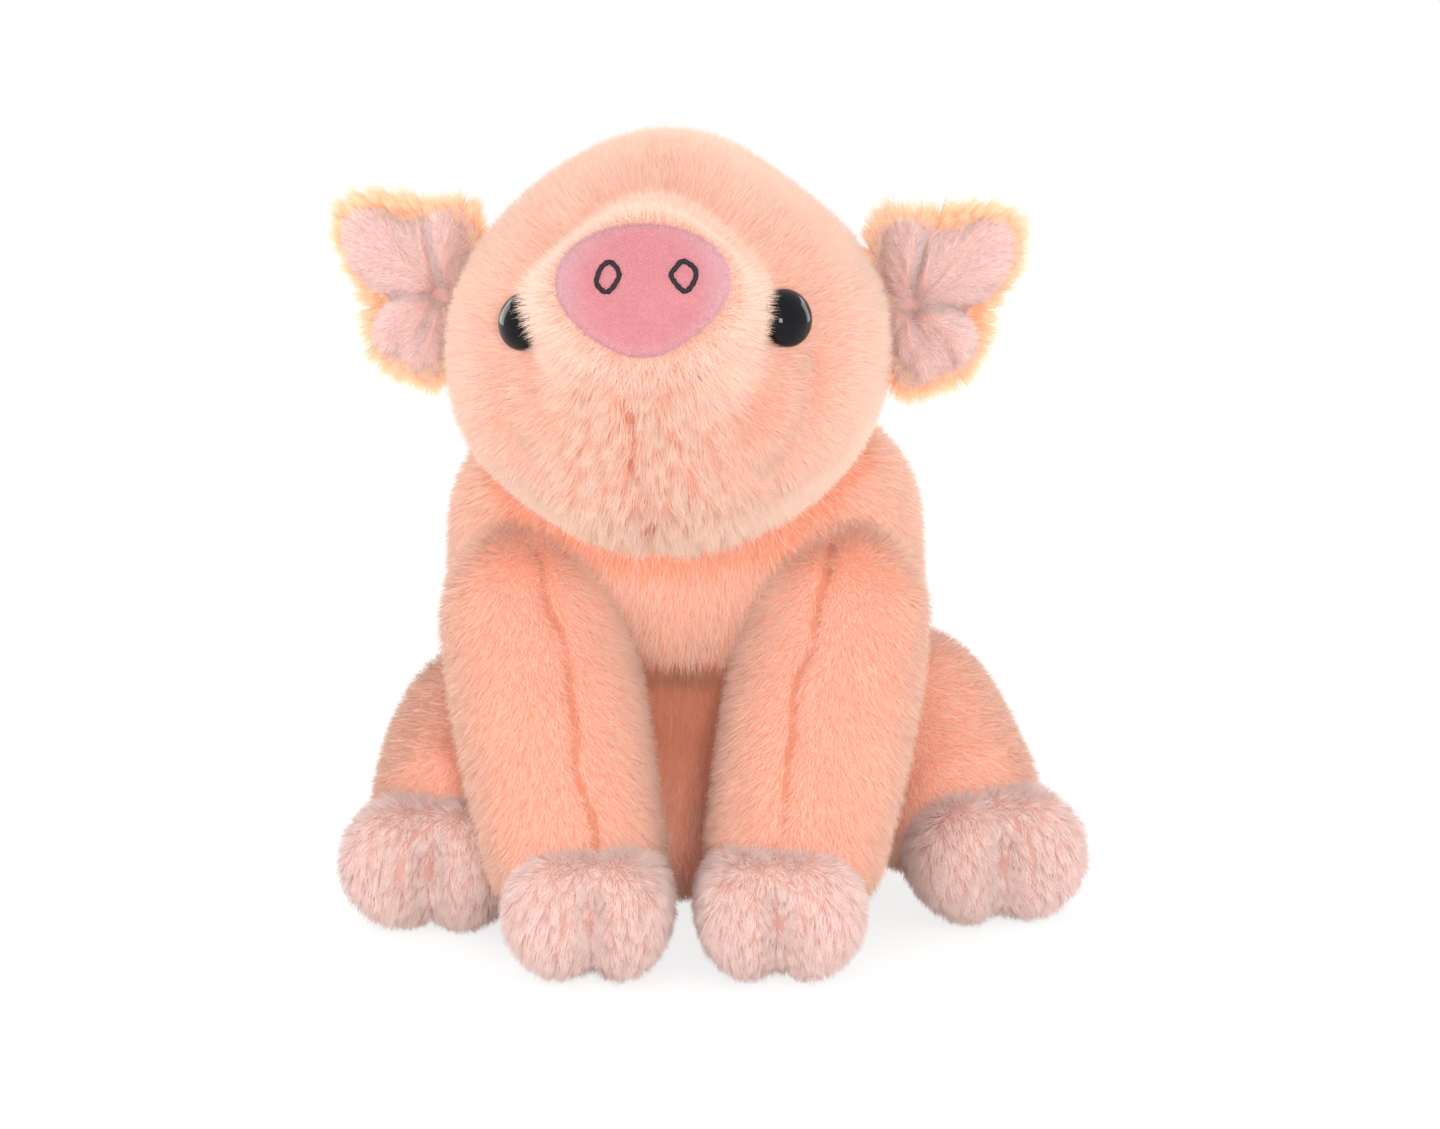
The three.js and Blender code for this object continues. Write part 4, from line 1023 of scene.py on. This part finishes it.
def leaf_spread(edge, rings):
    """Places in rings from the middle of a leaf to its edge, and each ring's share of the way."""
    parts = np.linspace(0, 1, rings + 1)[1:]
    flat = ear_middle + (edge - ear_middle) * parts[:, None, None]
    return flat[..., 0], flat[..., 1], parts[:, None]


def leaf_shares(edge, own):
    """How far out on a leaf points lie, from 0 at its middle to 1 at its edge."""
    from_edge = edge - ear_middle
    edge_turn = np.arctan2(from_edge[:, 1], from_edge[:, 0])
    order = np.argsort(edge_turn)
    turn = np.arctan2(own[:, 1], own[:, 0])
    reach = np.interp(turn, edge_turn[order], length_of(from_edge)[order], period=FULL_TURN)
    return length_of(own) / reach


outline = closed_curve(ear_outline, ear_around) * (ear_length, ear_height)
ear_middle = np.array([0.42 * ear_length, 0.0])
inward = (ear_middle - outline) * ramp(outline[:, :1], 2, 10)
inward /= length_of(outline - ear_middle)[:, None]
leaf_edge = outline + leaf_hem * inward
bare = 4.6 + 3.6 * bump(outline[:, :1] - 22, 12) * (outline[:, 1:] > 10)
bare += 4.5 * bump(np.hypot(outline[:, :1] - 32, outline[:, 1:] + 6), 8)
satin_edge_line = outline + bare * inward
centre = ear_sheet(*ear_middle)
for name, side in (("left", 1), ("right", -1)):
    ear, place = f"ear_{name}", ear_frame(side)
    across, upward, front_way = place[:3, 0], place[:3, 1], place[:3, 2]
    x, y, parts = leaf_spread(leaf_edge, leaf_rings)
    depth = ear_sheet(x, y)
    thick = leaf_thick * np.sqrt(np.clip(1 - parts**6, 0, 1))
    front = np.stack([x, y, depth - 0.4], -1)
    back = np.stack([x, y, depth - 0.5 - 2 * thick], -1)[::-1]
    ends = [[*ear_middle, centre - 0.4], [*ear_middle, centre - 3.5]]
    leaf = np.concatenate([front.reshape(-1, 3), back.reshape(-1, 3), ends])
    points = moved(place, leaf)
    faces = faced_out(points, tube_faces(2 * leaf_rings, ear_around, closed_ends=True))
    back_leaf = mesh_object(f"ear_leaf_{name}", points, faces, ear_plush)
    rng = np.random.default_rng(21 + side)
    roots, up = roots_on(points, faces, ear_dense, rng)
    own = moved_back(place, roots)[:, :2] - ear_middle
    out_share = leaf_shares(leaf_edge, own)
    keep = ((up @ front_way < 0.3) & (rng.random(len(roots)) < 0.36)) | (out_share > 0.74)
    keep &= head.deep(roots) < ear_sunk
    roots, up, own, out_share = picked(keep, roots, up, own, out_share)
    outward = unit(np.column_stack([own, np.zeros(len(own))])) @ place[:3, :3].T + across * 0.3
    rim = ramp(out_share, rim_from, 1)
    lean = combed(outward * (0.7 + 1.5 * rim[:, None]), 0.35, roots, rng)
    pile = (roots, up, lean)
    size = (ear_hair[0] + (2.4 + 1.8 * ripple(roots, 5, 18 + side)) * rim, ear_hair[1])
    nap = (front_way * 2.2 + AXIS_Z * 0.8) * rim[:, None]
    coat(f"ear_pile_{name}", ear, "pale_plush", pile, size, ear_plush, rng, nap, ear_tufts)
    x, y, parts = leaf_spread(satin_edge_line, satin_rings)
    round_off = np.sqrt(np.clip(1 - parts**5, 0, 1))
    depth = ear_sheet(x, y) + 0.4 + (1.0 + satin_rise(x, y, side)) * round_off
    crown = centre + 1.4 + satin_rise(*ear_middle, side)
    hem = ear_middle + (satin_edge_line - ear_middle) * 0.94
    under = ear_sheet(satin_edge_line[:, 0], satin_edge_line[:, 1]) - 0.5
    ends = [[*ear_middle, crown], [*ear_middle, centre + 0.1]]
    leaf = [np.stack([x, y, depth], -1).reshape(-1, 3), np.column_stack([hem, under]), ends]
    points = moved(place, np.concatenate(leaf))
    faces = faced_out(points, tube_faces(satin_rings + 1, ear_around, closed_ends=True))
    lining = mesh_object(f"ear_satin_{name}", points, faces, satin)
    roots, up = roots_on(points, faces, satin_dense, rng)
    keep = (up @ front_way > -0.4) & (head.deep(roots) < ear_sunk)
    roots, up = picked(keep, roots, up)
    fan = moved_back(place, roots) * (1, 1, 0) - (*satin_tuck, 0)
    streak_at = np.zeros_like(fan)
    streak_at[:, 0] = np.arctan2(fan[:, 1], fan[:, 0]) * 14
    streak_at[:, 1] = np.hypot(fan[:, 0], fan[:, 1]) * 0.12
    streak = ripple(streak_at, 2.2, 10 + side) + 0.6 * ripple(streak_at, 0.9, 12 + side)
    lean = combed(unit(fan) @ place[:3, :3].T * 1.3, 0.3, roots, rng)
    nap = streak[:, None] * 0.7 * upward
    pile = (roots, up, lean)
    coat(f"ear_satin_pile_{name}", ear, "ear_satin", pile, satin_hair, satin, rng, nap, satin_tufts)
    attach(back_leaf, ear)
    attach(lining, ear)
    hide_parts(f"ear_back_{name}")
    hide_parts(f"ear_lining_{name}")

# Front legs
# Each front leg is a sleeve of the body's plush with one seam down its front, stuffed softly and
# sewn to the shoulder, and closed by a hoof of pinker, longer pile tucked into two toes.

front_leg_rings = [
    [0.0, 0.84, 0.9, 0.9],
    [0.25, 0.99, 1.0, 1.0],
    [0.5, 1.03, 1.03, 1.03],
    [0.75, 0.98, 0.98, 0.98],
    [1.0, 0.9, 0.9, 0.9],
]
front_half_width, front_depth = 28.0, 24.0
front_rounds = (28.0, 20.0)
shoulder = (50.0, -36.0, 121.0)
ankle = (28.5, -88.0, 13.0)
front_hoof_place = (27.5, 93.0)  # to the side and forward
front_hoof_sizes = (18.0, 50.0, 25.5)  # reach up, length and half width
front_toe_out = 4.0
seam_top, seam_foot = 12, 112
seam_beside = 14  # degrees from the middle of the sleeve's front
leg_dense = 3.2
leg_sunk = 13.0  # no hair is rooted deeper than this in the body
leg_hair = (5.4, 0.28)
seam_hair = (3.8, 0.28)
seam_crease = (1.4, 2.2)

hoof_rings = [
    [0.0, 0.86, 0.84, 0.9],
    [0.35, 0.97, 0.98, 0.98],
    [0.65, 1.0, 1.0, 1.0],
    [1.0, 0.96, 0.86, 0.97],
]
hoof_height = 20.5
hoof_rounds = (18.0, 17.0)
toe_fullness, heel_fullness = (2.5, 2.5), (2.3, 2.3)
toe_down, heel_down = 21.0, 18.0
outer_toe, inner_toe, heel_share = 0.73, 0.66, 0.72  # shares of the hoof's half width
heel_short, heel_proud = 1.2, 0.3
hoof_hair = (5.4, 0.27)
cleft_hair_less = 2.6
hoof_tufts = (4.2, 0.5)
hoof_dense = 4.0
leg_over_cleft = (9.0, 10.0)  # the sleeve is pressed in behind the cleft
cleft_crease = (7.5, 3.6)

hoof_deep = (0.8, 0.45, 0.38)
hoof_tip = (1.0, 0.81, 0.76)
hoof_edge = (1.0, 0.9, 0.86)
seam_deep = (0.74, 0.25, 0.14)
seam_tip = (0.94, 0.43, 0.29)
hoof_plush = plush("hoof_plush", hoof_deep, hoof_tip, 0.35, hoof_edge, uneven=0.24)
seam_plush = plush("seam_plush", seam_deep, seam_tip, sheen=0.3)


def toes(x, forward, sizes, toe_out, side):
    """The forms of a hoof: outer toe, inner toe and the undivided heel between them."""
    up, length, half_width = sizes
    ahead = turned(-AXIS_Y, AXIS_Z, toe_out)
    heel = np.array([x, -forward, hoof_height]) - ahead * length / 2
    place = frame_along(heel, ahead, AXIS_X)
    made = []
    for part, shift in ((outer_toe, 1 - outer_toe), (inner_toe, inner_toe - 1)):
        toe = (length, half_width * part, up, toe_down)
        shift *= side * half_width
        made.append(Form(place, toe, hoof_rings, hoof_rounds, toe_fullness, shift=shift))
    heel = (length - heel_short, half_width * heel_share, up + heel_proud, heel_down)
    made.append(Form(place, heel, hoof_rings, hoof_rounds, heel_fullness))
    return made


def cleft_line(toe, side, half_width):
    """The line of the cleft up the front of a hoof."""
    high, far = toe.up, toe.length - PILE_RISE
    x = -0.1 * half_width * side
    own = [
        (x, -high * 0.95, far - 3.0),
        (x, -high * 0.4, far + 0.4),
        (x, high * 0.1, far),
        (x * 1.2, high * 0.32, far - 1.5),
    ]
    return moved(toe.frame, own)


def joined(parts):
    """Several skins as one list of points and faces."""
    faces, start = [], 0
    for p, f in parts:
        faces += [tuple(i + start for i in face) for face in f]
        start += len(p)
    return np.concatenate([p for p, _ in parts]), faces


def leg_pieces(name, body_name, leg, pair, cleft, seam, comb, seed, lumps=()):
    """Sleeve, hoof and their pile for one leg."""
    points, faces = leg.skin(120, 60, 22, -PILE_RISE)
    creases = [(cleft, *leg_over_cleft)]
    if seam is not None:
        creases.append((seam, *seam_crease))
    points = dented(points, faces, creases, lumps)
    sleeve = mesh_object(f"{name}_leg_skin", points, faces, peach)
    rng = np.random.default_rng(seed)
    roots, up = roots_on(points, faces, leg_dense, rng)
    keep = (body.deep(roots) < leg_sunk) & (roots[:, 2] > FLOOR_CLEAR)
    near_cleft = line_gap(roots, cleft)[0] < 20
    for toe in pair:
        keep &= toe.deep(roots) < np.where(near_cleft, 0, 5)
    roots, up = picked(keep, roots, up)
    lean = combed(comb * 0.9, 0.28, roots, rng)
    lean[:, 0] += ripple(roots, 18, seed) * 0.3
    parted = np.zeros(len(roots), bool)
    if seam is not None:
        gap, away = line_gap(roots, seam)
        part = bump(gap, 4)[:, None]
        part *= 0.5 + 0.5 * ripple(roots, 12, seed + 2)[:, None]
        lean = lean * (1 - 0.3 * part) + unit(away) * part * 0.8
        parted = gap < 1.45 + 0.45 * ripple(roots, 11, seed + 3) + 0.3 * rng.random(len(roots))
        seamed = ((roots, up, lean), seam_hair, seam_plush, rng)
        coat(f"{name}_seam_pile", body_name, "peach_plush", *seamed, chosen=parted)
    plain_coat = ((roots, up, lean), leg_hair, peach, rng)
    coat(f"{name}_leg_pile", body_name, "peach_plush", *plain_coat, chosen=~parted)
    hoof_parts, piles = [], []
    for i, toe in enumerate(pair):
        points, faces = toe.skin(90, 40, 20, -PILE_RISE)
        points = dented(points, faces, [(cleft, *cleft_crease)])
        points[:, 2] = np.maximum(points[:, 2], 0.3)
        hoof_parts.append((points, faces))
        roots, up = roots_on(points, faces, hoof_dense, rng)
        keep = np.ones(len(roots), bool)
        near_cleft = line_gap(roots, cleft)[0] < 7
        for other in pair[:i] + pair[i + 1 :]:
            keep &= other.deep(roots) < np.where(near_cleft, 12.0, 3.4)
        piles.append(picked(keep, roots, up))
    points, faces = joined(hoof_parts)
    hoof = mesh_object(f"{name}_hoof_skin", points, faces, hoof_plush)
    roots, up = (np.concatenate(column) for column in zip(*piles))
    keep = (leg.deep(roots) < 4) & (roots[:, 2] > FLOOR_CLEAR)
    roots, up = picked(keep, roots, up)
    ahead = pair[0].frame[:3, 2]
    lean = combed((ahead - AXIS_Z) * 1.1, 0.28, roots, rng)
    lean += (ripple(roots, 11, seed + 1) * 0.45)[:, None] * AXIS_X
    gap, away = line_gap(roots, cleft)
    part = bump(gap, 7)
    lean += unit(away * (1, 0, 0)) * part[:, None] * 0.9
    nap = ripple(roots, 5, seed + 4)[:, None] * 0.4 * AXIS_X
    nap += ramp(up @ ahead, -0.5, 0.5)[:, None] * 0.5 * ahead
    size = (hoof_hair[0] - cleft_hair_less * part, hoof_hair[1])
    woolly = ((roots, up, lean), size, hoof_plush, rng, nap, hoof_tufts)
    coat(f"{name}_hoof_pile", body_name, "hoof_plush", *woolly)
    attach(sleeve, body_name)
    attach(hoof, body_name)
    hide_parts(f"{name}_leg_cover", f"{name}_leg_filling")
    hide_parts(f"{name}_hoof_cover")


for name, side in (("left", 1), ("right", -1)):
    start, foot = np.multiply(shoulder, (side, 1, 1)), np.multiply(ankle, (side, 1, 1))
    way = foot - start
    sizes = (float(length_of(way)), front_half_width, front_depth, front_depth)
    leg = Form(frame_along(start, way, AXIS_X), sizes, front_leg_rings, front_rounds)
    seam_run = np.linspace(seam_top, seam_foot, 30)
    seam_turn = math.radians(90 + side * seam_beside)
    seam_wander = 0.05 * np.sin(seam_run / 9 + side) + 0.03 * np.sin(seam_run / 4.0)
    seam = leg.at(seam_run, seam_turn + seam_wander, -PILE_RISE)
    x, forward = front_hoof_place
    pair = toes(side * x, forward, front_hoof_sizes, side * front_toe_out, side)
    cleft = cleft_line(pair[0], side, front_hoof_sizes[2])
    leg_pieces(f"front_{name}", f"front_leg_{name}", leg, pair, cleft, seam, unit(way), 31 + side)

# Hind legs
# The hind legs are shorter sleeves of the same plush, stuffed and sewn to the hips. They are
# splayed to the sides, the left one more than the right, and end in the same two-toed hooves.

hind_leg_rings = [
    [0.0, 0.86, 0.86, 0.86],
    [0.3, 1.02, 1.0, 1.0],
    [0.55, 1.0, 0.97, 0.98],
    [0.8, 0.84, 0.8, 0.74],
    [1.0, 0.72, 0.66, 0.6],
]
hind_length = 86.0
hind_drop = 30.0
hind_half_width, hind_depth = 31.0, 33.0
hind_rounds = (30.0, 18.0)
hip = (48.0, 32.0, 52.0)
hind_hoof_sizes = (19.0, 42.0, 28.0)
hind_hoof_ahead = 2.0
hoof_splay_share = 0.55
hind_legs = (  # splay, and a swell of the thigh: share of its length, turn, height and width
    ("left", 1, 33.0, (0.42, 75, 6.5, 20.0)),
    ("right", -1, 19.5, (0.62, 125, -2.0, 18.0)),
)

for name, side, splay, (along, turn, height, width) in hind_legs:
    start = np.multiply(hip, (side, 1, 1))
    ahead = turned(-AXIS_Y, AXIS_Z, side * splay)
    way = ahead * math.sqrt(hind_length**2 - hind_drop**2) - AXIS_Z * hind_drop
    foot = start + way
    sizes = (hind_length, hind_half_width, hind_depth, hind_depth)
    leg = Form(frame_along(start, way, AXIS_X), sizes, hind_leg_rings, hind_rounds)
    forward, toe_out = hind_hoof_ahead - foot[1], side * splay * hoof_splay_share
    pair = toes(foot[0], forward, hind_hoof_sizes, toe_out, side)
    cleft = cleft_line(pair[0], side, hind_hoof_sizes[2])
    thigh = [(leg.at(along * hind_length, math.radians(turn)), height, width)]
    leg_pieces(
        f"hind_{name}", f"hind_leg_{name}", leg, pair, cleft, None, unit(way), 41 + side, thigh
    )

# Tail
# The tail is a thin tube of the body's plush, turned right side out. It is sewn into the rump and
# curls once.

tail_height = 66.0
tail_straight = 20.0
tail_inside = 9.0  # this much of it is sewn into the rump
tail_curl_radius = 8.0
tail_curls = 1.15
tail_curl_apart = 11.0
tail_radius = 2.4
tail_steps, tail_around = 60, 20
tail_hair = (3.2, 0.34)
tail_dense = 2.2

tail_root = body.at(tail_height + seat_pressed, math.pi / 2)
t = np.linspace(0, 1, tail_steps)
run = t * (tail_straight + FULL_TURN * tail_curl_radius * tail_curls)
turn = np.maximum(run - tail_straight, 0) / tail_curl_radius
back = tail_straight - tail_inside + tail_curl_radius * np.sin(turn)
line = np.stack(
    [
        tail_root[0] + tail_curl_apart * turn / FULL_TURN,
        tail_root[1] + np.where(run <= tail_straight, run - tail_inside, back),
        tail_height + tail_curl_radius * (1 - np.cos(turn)),
    ],
    -1,
)
along = unit(np.gradient(line, axis=0))
sideways = unit(np.cross(along, AXIS_X))
other = np.cross(along, sideways)
thin = tail_radius * np.sqrt(np.clip((1 - t) / 0.05, 0.02, 1))
tube = tube_about(line, sideways, other, thin, tail_around)
tube = np.concatenate([tube, line[:1], line[-1:]])
faces = faced_out(tube, tube_faces(tail_steps, tail_around, closed_ends=True))
tail = mesh_object("tail_skin", tube, faces, peach)
rng = np.random.default_rng(51)
roots, up = roots_on(tube, faces, tail_dense, rng)
nearest = np.argmin(length_of(roots[:, None] - line), axis=1)
lean = combed(along[nearest] * 1.2, 0.3, roots, rng)
coat("tail_pile", "tail", "peach_plush", (roots, up, lean), tail_hair, peach, rng)
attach(tail, "tail")
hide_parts("tail")

# Studio
# The pig sits on a white floor in front of white, in soft, even light from large lamps. The camera
# looks down on it a little, from as far as the photograph was taken.

floor_reach = 1500.0
floor_drop = 0.5
floor_gray = 0.93
floor_white = 0.8  # share of white where the floor is seen
look_at = np.array([0.0103, -0.045, 0.109])  # metres from here on
camera_far = 1.7
camera_lift = math.radians(13.0)
camera_lens = 144.5
lamps = (  # place, target, size, power and whether it shows as a glint
    ("key", (0.3, -1.55, 0.45), (0, -0.04, 0.12), 0.36, 8.6, True),
    ("top", (0, -0.5, 1.5), (0, 0, 0.12), 1.0, 4.8, False),
    ("low_fill", (0.1, -1.3, 0.1), (0, -0.04, 0.07), 0.5, 3.0, False),
    ("left_rear", (1.15, 0.8, 0.45), (0, -0.04, 0.12), 0.9, 11.0, True),
    ("right_rear", (-1.15, 0.8, 0.45), (0, -0.04, 0.12), 0.9, 11.0, True),
    ("left_fill", (1.2, -0.6, 0.3), (0, -0.04, 0.1), 0.9, 7.0, False),
    ("right_fill", (-1.2, -0.6, 0.3), (0, -0.04, 0.1), 0.9, 9.2, False),
)


def seen_share(tree, share):
    """A share of the white that is seen straight, in a reflection or through glass."""
    path = add_node(tree, "LightPath").outputs
    seen = worked_out(tree, "MAXIMUM", path["Is Camera Ray"], path["Is Glossy Ray"])
    seen = worked_out(tree, "MAXIMUM", seen, path["Is Transmission Ray"])
    return worked_out(tree, "MULTIPLY", seen, share)


floor_material, tree, shader = new_material("studio_floor")
gray = (floor_gray, floor_gray, floor_gray, 1)
set_inputs(tree, shader, {"Base Color": gray, "Roughness": 0.9})
glow = add_node(tree, "Emission", {"Color": (1, 1, 1, 1)})
end_in_mix(tree, "Material Output", seen_share(tree, floor_white), shader, glow)
square = ((-1, -1), (1, -1), (1, 1), (-1, 1))
corners = [(x * floor_reach, y * floor_reach, -floor_drop) for x, y in square]
floor = mesh_object("floor", corners, [(0, 1, 2, 3)], floor_material)

world = bpy.data.worlds.new("studio")
bpy.context.scene.world = world
world.use_nodes = True
tree = world.node_tree
soft = tree.nodes["Background"]
set_inputs(tree, soft, {"Color": (1.0, 0.99, 0.98, 1), "Strength": 1.0})
white = add_node(tree, "Background", {"Color": (1, 1, 1, 1), "Strength": 1.0})
end_in_mix(tree, "World Output", seen_share(tree, 1.0), soft, white)

for name, place, target, size, power, glints in lamps:
    lamp = bpy.data.lights.new(name, "AREA")
    lamp.shape = "SQUARE"
    lamp.size = size
    lamp.energy = power
    softbox = placed(name, lamp)
    z = unit(np.subtract(place, target))
    x = unit(np.cross(AXIS_Z, z))
    softbox.matrix_world = Matrix(frame_of(place, x, np.cross(z, x), z).tolist())
    softbox.visible_glossy = glints

camera_data = bpy.data.cameras.new("camera")
camera_data.sensor_width = 36.0
camera_data.lens = camera_lens
camera = placed("camera", camera_data)
back = np.array([0.0, -math.cos(camera_lift), math.sin(camera_lift)])
view = frame_of(look_at + back * camera_far, AXIS_X, np.cross(back, AXIS_X), back)
camera.matrix_world = Matrix(view.tolist())
bpy.context.scene.camera = camera
bpy.context.scene.view_settings.view_transform = "Standard"
